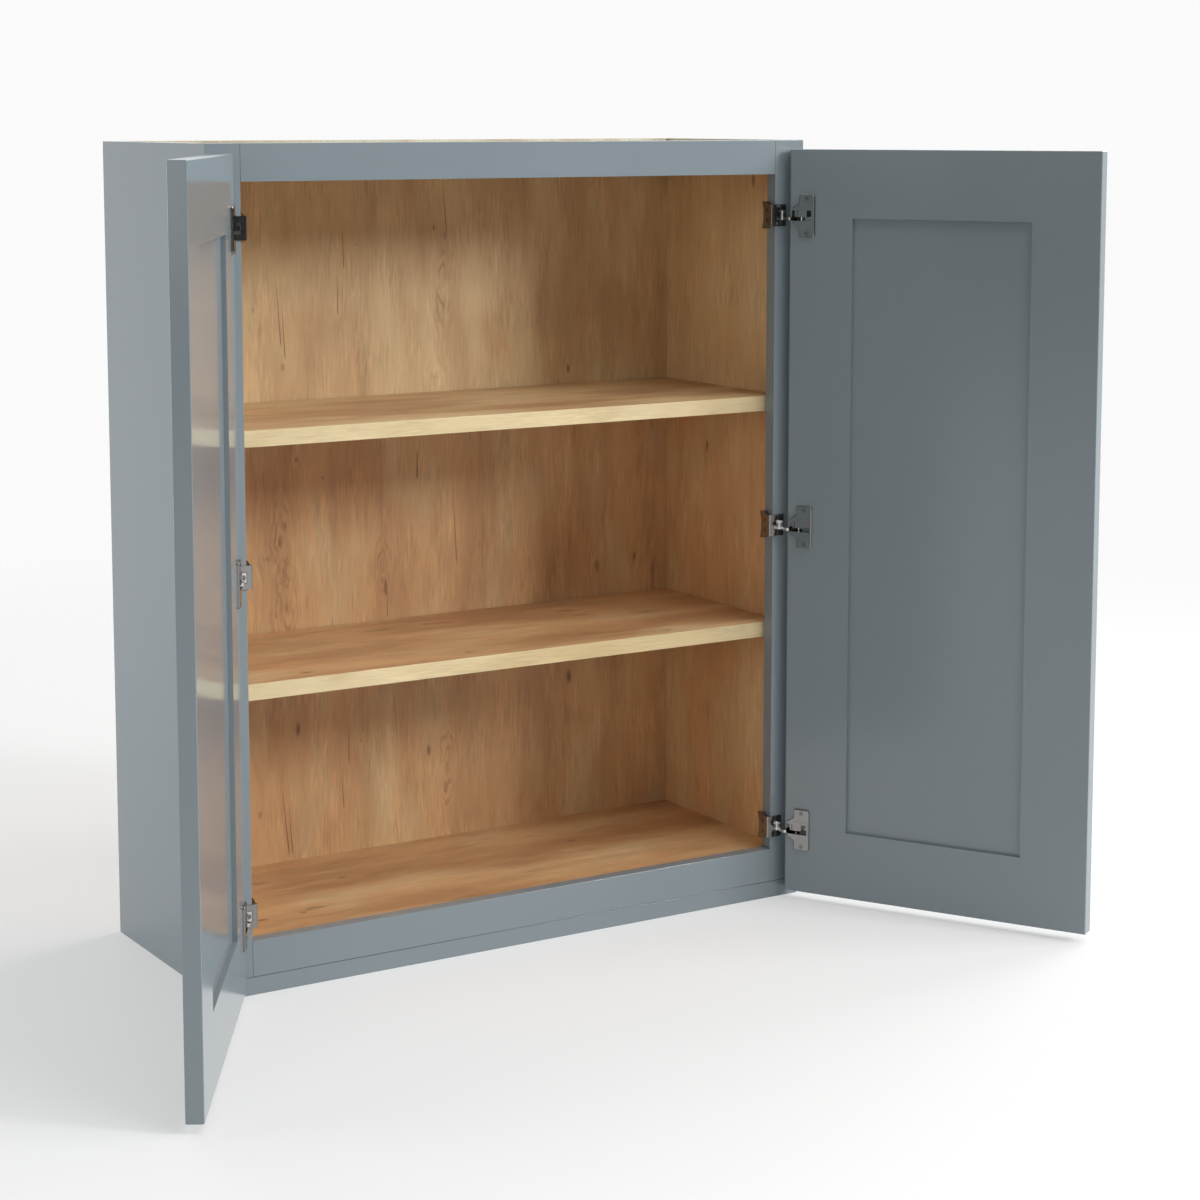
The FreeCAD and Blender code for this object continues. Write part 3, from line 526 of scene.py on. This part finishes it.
def hairline_group():
    """A hairline crack in board space, widest near its lower end."""
    name = "Hairline crack"
    if name in bpy.data.node_groups:
        return bpy.data.node_groups[name]
    inputs = sockets("Vector", "Board", "Centre") + sockets("Float", "Half length", "Half width", "Lean")
    graph, given, result = start_group(name, inputs, sockets("Float", "Mask"))
    off = graph.minus(given["Board"], given["Centre"])
    along = graph.measure(off, ALONG_GRAIN)
    reach = graph.math("DIVIDE", along, given["Half length"])
    lean = graph.math("MULTIPLY", along, given["Lean"])
    leaning = graph.math("SUBTRACT", graph.measure(off, ACROSS_GRAIN), lean)
    width = graph.math("MULTIPLY", given["Half width"], graph.fade(reach, *CRACK_TAPER))
    side = graph.math("DIVIDE", graph.math("ABSOLUTE", leaning), width)
    ends = graph.fade(graph.math("ABSOLUTE", reach), *CRACK_END)
    return end_group(graph, result, {"Mask": graph.math("MULTIPLY", graph.fade(side, *CRACK_SIDE), ends)})


def scatter(graph, board, cell, shift, spread):
    """Spots, one to a cell of the board: the way from the nearest in metres, and its two random numbers."""
    across, along, depth = board
    cell_x = graph.math("MULTIPLY_ADD", across, 1.0 / cell[0], graph.math("MULTIPLY", depth, shift[0]))
    cell_y = graph.math("MULTIPLY_ADD", along, 1.0 / cell[1], graph.math("MULTIPLY", depth, shift[1]))
    place = graph.join(cell_x, cell_y, 0.0)
    inputs = {"Vector": place, "Scale": 1.0, "Randomness": spread}
    spots = graph.add("ShaderNodeTexVoronoi", inputs, voronoi_dimensions="2D").outputs
    luck = graph.add("ShaderNodeSeparateColor", {0: spots["Color"]}).outputs
    off = graph.times(graph.minus(place, spots["Position"]), (cell[0], cell[1], 0.0))
    return off, luck[0], luck[1]


def board_figure_group():
    """Wood figure in board space: X across the grain, Y along it and Z through the board, in metres."""
    name = "Board figure"
    if name in bpy.data.node_groups:
        return bpy.data.node_groups[name]
    inputs = sockets("Vector", "Board") + sockets("Color", "Pale", "Dark", "Rosy", "Knot")
    inputs += sockets("Float", "Rosy share", "Knot share", "Crack share", "Band strength", "Fibre strength")
    inputs += sockets("Float", "Part", "Marks", "Rings")
    graph, given, result = start_group(name, inputs, finish_outputs())

    across, along, depth = graph.split(given["Board"])
    wander = graph.pattern(given["Board"], *WANDER)
    bent = graph.math("MULTIPLY_ADD", wander, WANDER_REACH, graph.math("ADD", across, given["Part"]))

    # Small knots, for which the grain parts.
    knot_board = (bent, along, depth)
    off, chance, size = scatter(graph, knot_board, SMALL_KNOT_CELL, SMALL_KNOT_SHIFT, SMALL_KNOT_SPREAD)
    there = graph.math("LESS_THAN", chance, given["Knot share"])
    girth = graph.math("ADD", size, SMALLEST_GIRTH)
    reach = graph.math("DIVIDE", graph.length(graph.times(off, per_metre(*SMALL_KNOT_SIZE))), girth)
    core = graph.math("MULTIPLY", there, graph.fade(reach, *SMALL_KNOT_CORE))
    halo = graph.math("MULTIPLY", there, graph.fade(reach, *SMALL_KNOT_HALO))
    sideways = graph.math("MULTIPLY", graph.measure(off, ACROSS_GRAIN), halo)
    grain = graph.math("ADD", bent, graph.math("MULTIPLY", sideways, GRAIN_PARTING))
    flow = graph.join(grain, along, depth)

    # Short hairline cracks along the grain.
    slit_board = (grain, along, depth)
    off, chance, size = scatter(graph, slit_board, SMALL_CRACK_CELL, SMALL_CRACK_SHIFT, SMALL_CRACK_SPREAD)
    reach = graph.length(graph.times(off, per_metre(*SMALL_CRACK_SIZE)))
    there = graph.math("LESS_THAN", chance, given["Crack share"])
    slit_depth = graph.math("MULTIPLY", there, graph.math("MULTIPLY_ADD", size, *SMALL_CRACK_DEPTH))
    slit = graph.math("MULTIPLY", graph.fade(reach, *SMALL_CRACK_EDGE), slit_depth)

    # Broad soft bands, warm patches, streaks, fine fibres and pores.
    bands = graph.fade(graph.pattern(flow, *BANDS), *BAND_EDGE)
    warmth = graph.math("ADD", graph.pattern(flow, *PATCHES), given["Rosy share"])
    patches = graph.fade(warmth, *PATCH_EDGE)
    streaks = graph.pattern(flow, *STREAKS)
    hairs = graph.pattern(flow, *HAIRS)
    pores = graph.fade(graph.pattern(flow, *PORES), *PORE_EDGE)
    fibres = graph.math("MULTIPLY_ADD", hairs, HAIR_SHARE, graph.math("MULTIPLY", streaks, STREAK_SHARE))
    clusters = graph.fade(graph.pattern(flow, *CLUSTERS), *CLUSTER_RANGE)

    colour = graph.mix(patches, given["Pale"], given["Rosy"])
    colour = graph.mix(graph.math("MULTIPLY", bands, given["Band strength"]), colour, given["Dark"])
    strength = graph.math("MULTIPLY", given["Fibre strength"], clusters)
    swing = graph.math("MULTIPLY", graph.math("SUBTRACT", fibres, NOISE_MIDDLE), strength)
    colour = graph.shade(colour, graph.math("ADD", swing, 1.0))
    pored = graph.math("MULTIPLY", pores, graph.math("MULTIPLY", clusters, PORE_STRENGTH))
    colour = graph.mix(pored, colour, given["Dark"])
    ringed = graph.math("MAXIMUM", graph.math("MULTIPLY", halo, HALO_STRENGTH), given["Rings"])
    colour = graph.mix(ringed, colour, graph.mix(RING_DARKNESS, given["Dark"], given["Knot"]))
    small_marks = graph.math("MULTIPLY", graph.math("MAXIMUM", core, slit), SMALL_MARK_STRENGTH)
    colour = graph.mix(graph.math("MAXIMUM", small_marks, given["Marks"]), colour, given["Knot"])
    roughness = graph.math("MULTIPLY_ADD", fibres, FIBRE_ROUGHNESS, WOOD_ROUGHNESS)
    height = graph.pattern(given["Board"], *RIDGES)
    return end_group(graph, result, {"Colour": colour, "Roughness": roughness, "Height": height})


def paint_film_group():
    """Sprayed paint: slight mottling, a fine ripple and specks of gloss."""
    name = "Paint film"
    if name in bpy.data.node_groups:
        return bpy.data.node_groups[name]
    inputs = sockets("Vector", "Place") + sockets("Color", "Colour") + sockets("Float", "Gloss", "Ripples")
    graph, given, result = start_group(name, inputs, finish_outputs())
    cloud = graph.pattern(given["Place"], *PAINT_MOTTLE)
    rippled = {0: given["Place"], "Scale": given["Ripples"]}
    scaled = graph.add("ShaderNodeVectorMath", rippled, operation="SCALE").outputs["Vector"]
    peel = graph.noise(scaled, *PAINT_PEEL)
    grit = graph.pattern(given["Place"], *PAINT_GRIT)
    colour = graph.shade(given["Colour"], graph.vary(cloud, grit, *PAINT_TINT))
    roughness = graph.math("ADD", given["Gloss"], graph.vary(cloud, peel, *PAINT_SPREAD))
    return end_group(graph, result, {"Colour": colour, "Roughness": roughness, "Height": peel})


def plated_steel_group():
    """Plated pressed steel: fine draw lines, cloudy plating and faint smears."""
    name = "Plated steel"
    if name in bpy.data.node_groups:
        return bpy.data.node_groups[name]
    inputs = sockets("Vector", "Place") + sockets("Color", "Colour") + sockets("Float", "Gloss")
    graph, given, result = start_group(name, inputs, finish_outputs())
    cloud = graph.pattern(given["Place"], *PLATING_CLOUD)
    drawn = graph.pattern(given["Place"], *DRAW_LINES)
    colour = graph.shade(given["Colour"], graph.vary(cloud, drawn, *PLATING_TINT))
    roughness = graph.math("ADD", given["Gloss"], graph.vary(cloud, drawn, *PLATING_SPREAD))
    return end_group(graph, result, {"Colour": colour, "Roughness": roughness, "Height": drawn})


def start_material(name):
    """A new material's graph, its Principled shader and the piece's own coordinates."""
    material = bpy.data.materials.new(name)
    material.use_nodes = True
    material.node_tree.nodes.clear()
    graph = Graph(material.node_tree)
    shader = graph.add("ShaderNodeBsdfPrincipled")
    graph.add("ShaderNodeOutputMaterial", {"Surface": shader.outputs["BSDF"]})
    place = graph.add("ShaderNodeTexCoord").outputs["Object"]
    return material, graph, shader, place


def use_group(graph, tree, inputs):
    """The outputs of a node group placed in a material with its own values."""
    node = graph.add("ShaderNodeGroup", node_tree=tree)
    for key, value in inputs.items():
        graph.feed(node.inputs[key], value)
    return node.outputs


def raise_bump(graph, shader, height, depth):
    """Feeds the shader's Normal from a height, where depth is the height's full reach in metres."""
    bump = graph.add("ShaderNodeBump", {"Height": height, "Strength": 1.0, "Distance": depth})
    graph.feed(shader.inputs["Normal"], bump.outputs["Normal"])


def board_space(graph, place, grain):
    """The piece's coordinates turned so that X is across the grain, Y along it and Z through the board."""
    x, y, z = graph.split(place)
    turned = {"upright back": (x, z, y), "upright side": (y, z, x), "level": (y, x, z), "edge": (z, x, y)}
    return graph.join(*turned[grain])


def placed_knot(graph, board, wobble, centre, girth, stretch, core_strength, ring_strength):
    """A knot or a stain at its place on a board."""
    return use_group(graph, knot_group(), {
        "Board": board, "Centre": centre, "Scale": per_metre(girth, girth * stretch), "Wobble": wobble,
        "Core strength": core_strength, "Ring strength": ring_strength})


def place_marks(graph, board, knots, stains, cracks):
    """Masks of the placed marks and of the knots' rings, and how far the grain parts for the knots."""
    wobble = graph.math("MULTIPLY_ADD", graph.pattern(board, *KNOT_WOBBLE), *WOBBLE_RANGE)
    broken = graph.fade(graph.pattern(board, *RING_BREAKS), *RING_BREAK_EDGE)
    marks = 0.0
    rings = 0.0
    part = 0.0
    for x, y, girth, stretch, core_strength, ring_strength in knots:
        knot = placed_knot(graph, board, wobble, (x, y, 0.0), girth, stretch, core_strength, ring_strength)
        marks = graph.math("MAXIMUM", knot["Core"], marks)
        rings = graph.math("MAXIMUM", knot["Rings"], rings)
        part = graph.math("ADD", knot["Part"], part)
    for x, y, girth, stretch, strength in stains:
        stain = placed_knot(graph, board, wobble, (x, y, 0.0), girth, stretch, strength, 0.0)
        marks = graph.math("MAXIMUM", stain["Core"], marks)
    for x, y, half_length, half_width, lean in cracks:
        crack = use_group(graph, hairline_group(), {
            "Board": board, "Centre": (x, y, 0.0), "Half length": half_length, "Half width": half_width,
            "Lean": lean})
        marks = graph.math("MAXIMUM", crack["Mask"], marks)
    marks = graph.math("MULTIPLY", marks, MARK_STRENGTH)
    return {"Part": part, "Marks": marks, "Rings": graph.math("MULTIPLY", rings, broken)}


def interior_figure(graph, place, grain, rosy_share, band_strength, knots=(), stains=(), cracks=()):
    """The interior boards' figure on a piece whose grain runs as named, with its placed marks."""
    boards = bpy.context.scene.cabinet_boards
    board = board_space(graph, place, grain)
    inputs = {
        "Board": board, "Pale": boards.pale, "Dark": boards.dark, "Rosy": boards.rosy, "Knot": boards.knot,
        "Rosy share": rosy_share, "Knot share": boards.knot_share, "Crack share": boards.crack_share,
        "Band strength": band_strength, "Fibre strength": 1.0}
    if knots or cracks:
        inputs.update(place_marks(graph, board, knots, stains, cracks))
    return use_group(graph, board_figure_group(), inputs)


def paint_film(graph, place):
    """The paint film on a piece."""
    paint = bpy.context.scene.cabinet_paint
    return use_group(graph, paint_film_group(), {
        "Place": place, "Colour": paint.colour, "Gloss": paint.roughness, "Ripples": 1.0 / paint.peel_size})


def frame_seams(graph, place):
    """Thin lines where the face frame's stiles meet its rails, and along the top of the base strip."""
    across = graph.math("ABSOLUTE", graph.measure(place, SIDEWAYS))
    up = graph.measure(place, UPWARD)
    from_joint = graph.math("ABSOLUTE", graph.math("SUBTRACT", across, RAIL_END))
    from_strip = graph.math("ABSOLUTE", graph.math("SUBTRACT", up, STRIP_TOP))
    from_rail = graph.math("ABSOLUTE", graph.math("SUBTRACT", up, BOTTOM_RAIL_MIDDLE))
    joint = graph.fade(from_joint, SEAM_HALF_WIDTH, SEAM_CORE)
    over = graph.math("GREATER_THAN", up, OPENING_TOP)
    under = graph.math("LESS_THAN", from_rail, BOTTOM_RAIL_HALF)
    upright = graph.math("MULTIPLY", joint, graph.math("MAXIMUM", over, under))
    level = graph.fade(from_strip, SEAM_HALF_WIDTH, SEAM_CORE)
    return graph.math("MAXIMUM", graph.math("MULTIPLY", upright, JOINT_STRENGTH), level)


def painted_material(name, seams=None):
    """Blue-grey satin paint, darker in the seams where a function for these is given."""
    material, graph, shader, place = start_material(name)
    film = paint_film(graph, place)
    colour = film["Colour"]
    if seams:
        colour = graph.shade(colour, graph.math("MULTIPLY_ADD", seams(graph, place), -SEAM_SHADE, 1.0))
    graph.feed(shader.inputs["Base Color"], colour)
    graph.feed(shader.inputs["Roughness"], film["Roughness"])
    shader.inputs["Specular IOR Level"].default_value = PAINT_SPECULAR
    raise_bump(graph, shader, film["Height"], bpy.context.scene.cabinet_paint.peel_depth)
    return material


def raw_over_top(graph, place, colour):
    """The colour, greyer and paler on the raw wood over the top panel, but not on the wall face."""
    over = graph.math("GREATER_THAN", graph.measure(place, UPWARD), TOP_PANEL_TOP - FACE_DEPTH)
    off_wall = graph.math("LESS_THAN", graph.measure(place, INWARD), WALL_FACE - FACE_DEPTH)
    return graph.mix(graph.math("MULTIPLY", over, off_wall), colour, RAW_TINT, "MULTIPLY")


def rosy_by_height(graph, place):
    """The share of warm patches, which is smaller inside above the upper shelf than elsewhere."""
    inside = graph.math("LESS_THAN", graph.measure(place, INWARD), BACK_INNER_FACE + FACE_DEPTH)
    yellow = graph.fade(graph.measure(place, UPWARD), UPPER_SHELF_TOP - ROSY_CHANGE, UPPER_SHELF_TOP)
    return graph.math("MULTIPLY_ADD", graph.math("MULTIPLY", inside, yellow), -ROSY_FALL, ROSY_SHARE)


def interior_material(name, grain, knots=(), stains=(), cracks=(), specular=WOOD_SPECULAR):
    """Wood-faced board with its grain and its placed marks as given."""
    material, graph, shader, place = start_material(name)
    rosy_share = rosy_by_height(graph, place)
    band_strength = LEVEL_BANDS if grain == "level" else BACK_BANDS
    figure = interior_figure(graph, place, grain, rosy_share, band_strength, knots, stains, cracks)
    graph.feed(shader.inputs["Base Color"], raw_over_top(graph, place, figure["Colour"]))
    shader.inputs["Specular IOR Level"].default_value = specular
    graph.feed(shader.inputs["Roughness"], figure["Roughness"])
    raise_bump(graph, shader, figure["Height"], WOOD_RELIEF)
    return material


def side_material():
    """Side panel: paint outside and on its edges, wood inside."""
    material, graph, shader, place = start_material("Side panel")
    film = paint_film(graph, place)
    figure = interior_figure(graph, place, "upright side", rosy_by_height(graph, place), SIDE_BANDS)
    reach = graph.math("ABSOLUTE", graph.measure(place, SIDEWAYS))
    inside = graph.math("LESS_THAN", reach, SIDE_INNER_FACE + FACE_DEPTH)
    wood = raw_over_top(graph, place, figure["Colour"])
    graph.feed(shader.inputs["Base Color"], graph.mix(inside, film["Colour"], wood))
    graph.feed(shader.inputs["Roughness"], graph.blend(inside, film["Roughness"], figure["Roughness"]))
    shader.inputs["Specular IOR Level"].default_value = PAINT_SPECULAR
    raise_bump(graph, shader, graph.blend(inside, film["Height"], figure["Height"]), SIDE_RELIEF)
    return material


def band_material():
    """Light wood banding with fibres along the shelf."""
    band = bpy.context.scene.cabinet_band
    material, graph, shader, place = start_material("Shelf edge band")
    figure = use_group(graph, board_figure_group(), {
        "Board": board_space(graph, place, "edge"), "Pale": band.pale, "Dark": band.dark, "Rosy": band.dark,
        "Knot": band.streak, **EDGE_BAND_FIGURE})
    graph.feed(shader.inputs["Base Color"], figure["Colour"])
    graph.feed(shader.inputs["Roughness"], figure["Roughness"])
    raise_bump(graph, shader, figure["Height"], WOOD_RELIEF)
    return material


def steel_material(name, colour):
    """Plated steel of one colour."""
    material, graph, shader, place = start_material(name)
    steel = use_group(graph, plated_steel_group(), {
        "Place": place, "Colour": colour, "Gloss": bpy.context.scene.cabinet_steel.roughness})
    graph.feed(shader.inputs["Base Color"], steel["Colour"])
    graph.feed(shader.inputs["Roughness"], steel["Roughness"])
    shader.inputs["Metallic"].default_value = 1.0
    raise_bump(graph, shader, steel["Height"], STEEL_RELIEF)
    return material


def coat(names, material):
    """Puts a material into the slots of the named CAD pieces."""
    for name in names:
        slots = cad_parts[name].material_slots
        if not slots:
            raise RuntimeError("The piece %s has no material slot" % name)
        for slot in slots:
            slot.material = material


def soft_lamp(name, place, target, width, height, power):
    """A softbox that faces its target, and that the camera itself doesn't see."""
    data = bpy.data.lights.new(name, "AREA")
    data.shape = "RECTANGLE"
    data.size = width
    data.size_y = height
    data.energy = power
    lamp = bpy.data.objects.new(name, data)
    lamp.location = place
    lamp.rotation_euler = (target - place).to_track_quat("-Z", "Y").to_euler()
    lamp.visible_camera = False
    bpy.context.scene.collection.objects.link(lamp)
    return lamp


def toward(azimuth, elevation, distance):
    """The way to a point from the cabinet's front, with azimuth to the right and elevation upwards."""
    flat = distance * math.cos(math.radians(elevation))
    return Vector((flat * math.sin(math.radians(azimuth)), -flat * math.cos(math.radians(azimuth)),
                   distance * math.sin(math.radians(elevation))))


def seen_rays(graph):
    """Masks of the camera's own rays, and of reflected and transmitted rays."""
    path = graph.add("ShaderNodeLightPath").outputs
    return path["Is Camera Ray"], graph.math("MAXIMUM", path["Is Glossy Ray"], path["Is Transmission Ray"])


def stage_floor(stage):
    """A round pale floor that fades into the background."""
    ring = []
    for corner in range(FLOOR_CORNERS):
        turn = 2.0 * math.pi * corner / FLOOR_CORNERS
        ring.append((stage.floor_radius * math.cos(turn), stage.floor_radius * math.sin(turn), FLOOR_Z))
    mesh = bpy.data.meshes.new("Studio floor")
    mesh.from_pydata(ring, [], [list(range(FLOOR_CORNERS))])
    floor = bpy.data.objects.new("Studio floor", mesh)
    bpy.context.scene.collection.objects.link(floor)
    material, graph, shader, place = start_material("Pale floor")
    x, y, _ = graph.split(place)
    distance = graph.length(graph.join(x, y, 0.0))
    seen = graph.math("MAXIMUM", *seen_rays(graph))
    lit = tuple(part * (1.0 - stage.floor_glow) for part in stage.floor_colour[:3]) + (1.0,)
    graph.feed(shader.inputs["Base Color"], graph.mix(seen, stage.floor_colour, lit))
    graph.feed(shader.inputs["Emission Strength"], graph.math("MULTIPLY", seen, stage.floor_glow))
    shader.inputs["Emission Color"].default_value = WHITE
    shader.inputs["Roughness"].default_value = FLOOR_ROUGHNESS
    shader.inputs["Specular IOR Level"].default_value = 0.0
    solid_radius = FLOOR_SOLID_SHARE * stage.floor_radius
    graph.feed(shader.inputs["Alpha"], graph.fade(distance, stage.floor_radius, solid_radius))
    mesh.materials.append(material)


def stage_world(stage):
    """Soft light from all round, and a near-white background that is dim where metal mirrors the front."""
    world = bpy.data.worlds.new("Studio")
    bpy.context.scene.world = world
    world.use_nodes = True
    world.node_tree.nodes.clear()
    graph = Graph(world.node_tree)
    direction = graph.add("ShaderNodeTexCoord").outputs["Generated"]
    _, back, up = graph.split(direction)
    behind = graph.fade(back, *BEHIND_EDGE, stage.front_share, 1.0)
    below = graph.fade(up, *BELOW_EDGE, stage.front_share, 1.0)
    share = graph.math("MAXIMUM", behind, below)
    direct, bounced = seen_rays(graph)
    level = graph.blend(bounced, stage.ambient, graph.math("MULTIPLY", share, stage.background))
    level = graph.blend(direct, level, stage.background)
    sky = graph.add("ShaderNodeBackground", {"Color": WHITE, "Strength": level})
    graph.add("ShaderNodeOutputWorld", {"Surface": sky.outputs[0]})


def stage_lamps(stage):
    """The softboxes, all facing the cabinet's front."""
    front = Vector((0.0, CABINET_FRONT, 0.0))
    for name, azimuth, elevation, width, height, power in SOFTBOXES:
        place = front + toward(azimuth, elevation, stage.lamp_distance)
        soft_lamp(name, place, front, width, height, power * stage.lamp_level)


def stage_camera(stage):
    """The camera at the photograph's viewing angle."""
    data = bpy.data.cameras.new("Studio camera")
    data.lens = stage.camera_lens
    data.sensor_width = SENSOR_WIDTH
    data.shift_y = stage.camera_shift
    camera = bpy.data.objects.new("Studio camera", data)
    camera.location = stage.camera_place
    camera.rotation_euler = (LEVEL_TILT - stage.camera_pitch, 0.0, -stage.camera_yaw)
    bpy.context.scene.collection.objects.link(camera)
    bpy.context.scene.camera = camera


class CABINET_OT_finish_face_frame(bpy.types.Operator):
    """Paints the stiles, rails and strip of the cabinet's front"""

    bl_idname = "cabinet.finish_face_frame"
    bl_label = "Finish the face frame"

    def execute(self, context):
        stiles = ["%s_frame_stile" % side for side in SIDES]
        members = stiles + ["top_frame_rail", "bottom_frame_rail", "base_strip"]
        coat(members, painted_material("Face frame paint", frame_seams))
        return {"FINISHED"}


class CABINET_OT_finish_doors(bpy.types.Operator):
    """Paints the framed doors"""

    bl_idname = "cabinet.finish_doors"
    bl_label = "Finish the doors"

    def execute(self, context):
        members = ("hinge_stile", "meeting_stile", "top_rail", "bottom_rail", "panel")
        pieces = ["%s_door_%s" % (side, member) for side in SIDES for member in members]
        coat(pieces, painted_material("Door paint"))
        return {"FINISHED"}


class CABINET_OT_finish_side_panels(bpy.types.Operator):
    """Paints the sides outside and faces them with wood inside"""

    bl_idname = "cabinet.finish_side_panels"
    bl_label = "Finish the side panels"

    def execute(self, context):
        coat(["%s_side_panel" % side for side in SIDES], side_material())
        return {"FINISHED"}


class CABINET_OT_finish_back_and_levels(bpy.types.Operator):
    """Faces the back, top and bottom panels with wood"""

    bl_idname = "cabinet.finish_back_and_levels"
    bl_label = "Finish the back, top and bottom"

    def execute(self, context):
        back = interior_material("Back board", "upright back", BACK_KNOTS, BACK_STAINS, BACK_CRACKS)
        coat(["back_panel"], back)
        coat(["top_panel"], interior_material("Top board", "level", specular=RAW_SPECULAR))
        coat(["bottom_panel"], interior_material("Bottom board", "level", BOTTOM_KNOTS))
        return {"FINISHED"}


class CABINET_OT_finish_shelves(bpy.types.Operator):
    """Faces the shelves with wood and bands their front edges"""

    bl_idname = "cabinet.finish_shelves"
    bl_label = "Finish the shelves"

    def execute(self, context):
        coat(["lower_shelf"], interior_material("Lower shelf board", "level", LOWER_SHELF_KNOTS))
        coat(["upper_shelf"], interior_material("Upper shelf board", "level"))
        coat(["%s_shelf_band" % level for level in LEVELS], band_material())
        return {"FINISHED"}


class CABINET_OT_finish_hinges(bpy.types.Operator):
    """Plates the hinges and shelf pins"""

    bl_idname = "cabinet.finish_hinges"
    bl_label = "Finish the hinges"

    def execute(self, context):
        steel = context.scene.cabinet_steel
        hinges = ["%s_%s_hinge" % (side, place) for side in SIDES for place in HINGE_PLACES]
        bright = ["%s_%s" % (hinge, piece) for hinge in hinges for piece in ("pin", "link")]
        pressed = ["%s_%s" % (hinge, piece) for hinge in hinges for piece in ("cup", "bracket")]
        bright += ["%s_shelf_pins" % level for level in LEVELS]
        coat(bright, steel_material("Nickel plate", steel.nickel))
        coat(pressed, steel_material("Pressed plate", steel.pressing))
        return {"FINISHED"}


class CABINET_OT_finish_screws(bpy.types.Operator):
    """Plates the hinges' screws with zinc"""

    bl_idname = "cabinet.finish_screws"
    bl_label = "Finish the screws"

    def execute(self, context):
        screws = ["%s_%s_screws" % (side, use) for side in SIDES for use in ("cup", "bracket", "link")]
        coat(screws, steel_material("Zinc plate", context.scene.cabinet_steel.zinc))
        return {"FINISHED"}


class CABINET_OT_set_stage(bpy.types.Operator):
    """Sets the floor, the background, the softboxes and the camera"""

    bl_idname = "cabinet.set_stage"
    bl_label = "Set the stage"

    def execute(self, context):
        stage = context.scene.cabinet_stage
        stage_floor(stage)
        stage_world(stage)
        stage_lamps(stage)
        stage_camera(stage)
        context.scene.view_settings.view_transform = "Standard"
        return {"FINISHED"}


FINISHES = (CABINET_OT_finish_face_frame, CABINET_OT_finish_doors, CABINET_OT_finish_side_panels,
            CABINET_OT_finish_back_and_levels, CABINET_OT_finish_shelves, CABINET_OT_finish_hinges,
            CABINET_OT_finish_screws, CABINET_OT_set_stage)

SETTINGS = {
    "cabinet_paint": PaintFinish,
    "cabinet_boards": InteriorBoards,
    "cabinet_band": ShelfEdgeBand,
    "cabinet_steel": HingeSteel,
    "cabinet_stage": StudioStage,
}


class CABINET_PT_finishes(bpy.types.Panel):
    """Lists the cabinet's finishes and their settings"""

    bl_idname = "CABINET_PT_finishes"
    bl_label = "Wall cabinet"
    bl_space_type = "VIEW_3D"
    bl_region_type = "UI"
    bl_category = "Cabinet"

    def draw(self, context):
        column = self.layout.column()
        for finish in FINISHES:
            column.operator(finish.bl_idname)
        for settings_name in SETTINGS:
            settings = getattr(context.scene, settings_name)
            box = self.layout.box()
            for key in settings.bl_rna.properties.keys():
                if key not in ("rna_type", "name"):
                    box.prop(settings, key)


def register():
    """Registers the settings, the operators and the panel."""
    for settings_name, settings in SETTINGS.items():
        bpy.utils.register_class(settings)
        setattr(bpy.types.Scene, settings_name, bpy.props.PointerProperty(type=settings))
    for finish in FINISHES:
        bpy.utils.register_class(finish)
    bpy.utils.register_class(CABINET_PT_finishes)


def unregister():
    """Takes back what register did."""
    bpy.utils.unregister_class(CABINET_PT_finishes)
    for finish in reversed(FINISHES):
        bpy.utils.unregister_class(finish)
    for settings_name, settings in reversed(SETTINGS.items()):
        delattr(bpy.types.Scene, settings_name)
        bpy.utils.unregister_class(settings)


def main():
    """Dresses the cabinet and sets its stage."""
    register()
    bpy.ops.cabinet.finish_face_frame()
    bpy.ops.cabinet.finish_doors()
    bpy.ops.cabinet.finish_side_panels()
    bpy.ops.cabinet.finish_back_and_levels()
    bpy.ops.cabinet.finish_shelves()
    bpy.ops.cabinet.finish_hinges()
    bpy.ops.cabinet.finish_screws()
    bpy.ops.cabinet.set_stage()


if __name__ == "__main__":
    main()
